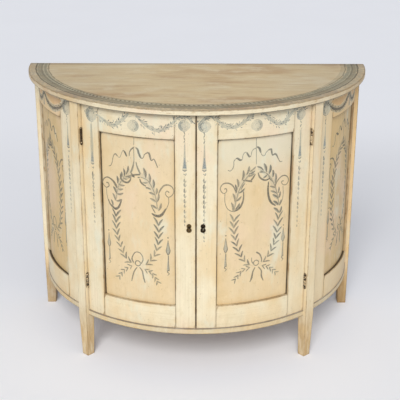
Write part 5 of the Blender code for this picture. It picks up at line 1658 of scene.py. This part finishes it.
def set_camera(scene):
    ahead = Vector((math.sin(CAMERA_YAW) * math.cos(CAMERA_PITCH),
                    math.cos(CAMERA_YAW) * math.cos(CAMERA_PITCH), -math.sin(CAMERA_PITCH)))
    level = Vector((math.cos(CAMERA_YAW), -math.sin(CAMERA_YAW), 0))
    above = level.cross(ahead)
    right = math.cos(CAMERA_ROLL) * level + math.sin(CAMERA_ROLL) * above
    above = -math.sin(CAMERA_ROLL) * level + math.cos(CAMERA_ROLL) * above
    data = bpy.data.cameras.new("camera")
    data.sensor_width = SENSOR_MM
    data.lens = FOCAL_PIXELS * SENSOR_MM / FRAME_PIXELS
    camera = place_object("camera", data)
    turn = Matrix((right, above, -ahead)).transposed().to_4x4()
    camera.matrix_world = Matrix.Translation(CAMERA_PLACE) @ turn
    scene.camera = camera


OPERATORS = (
    OBJECT_OT_cabinet_posts,
    OBJECT_OT_cabinet_top,
    OBJECT_OT_cabinet_sides,
    OBJECT_OT_cabinet_doors,
    OBJECT_OT_cabinet_door_brushwork,
    OBJECT_OT_cabinet_side_brushwork,
    OBJECT_OT_cabinet_top_border,
    OBJECT_OT_cabinet_ironwork,
    OBJECT_OT_cabinet_inside,
    OBJECT_OT_cabinet_stage,
)


class VIEW3D_PT_cabinet(bpy.types.Panel):
    """Lists the cabinet's settings and the steps that make it"""

    bl_label = "Demilune cabinet"
    bl_idname = "VIEW3D_PT_cabinet"
    bl_space_type = "VIEW_3D"
    bl_region_type = "UI"
    bl_category = "Demilune"

    def draw(self, context):
        for operator in OPERATORS:
            self.layout.operator(operator.bl_idname)
        for name in ("cabinet_paint", "cabinet_wear", "cabinet_stage"):
            group = getattr(context.scene, name)
            box = self.layout.box()
            for setting in group.__annotations__:
                box.prop(group, setting)


CLASSES = (CabinetPaint, CabinetWear, CabinetStage, *OPERATORS, VIEW3D_PT_cabinet)


def register():
    for item in CLASSES:
        bpy.utils.register_class(item)
    bpy.types.Scene.cabinet_paint = bpy.props.PointerProperty(type=CabinetPaint)
    bpy.types.Scene.cabinet_wear = bpy.props.PointerProperty(type=CabinetWear)
    bpy.types.Scene.cabinet_stage = bpy.props.PointerProperty(type=CabinetStage)


def unregister():
    del bpy.types.Scene.cabinet_stage
    del bpy.types.Scene.cabinet_wear
    del bpy.types.Scene.cabinet_paint
    for item in reversed(CLASSES):
        bpy.utils.unregister_class(item)


def main():
    register()
    for item in OPERATORS:
        group, name = item.bl_idname.split(".")
        getattr(getattr(bpy.ops, group), name)()


if __name__ == "__main__":
    main()
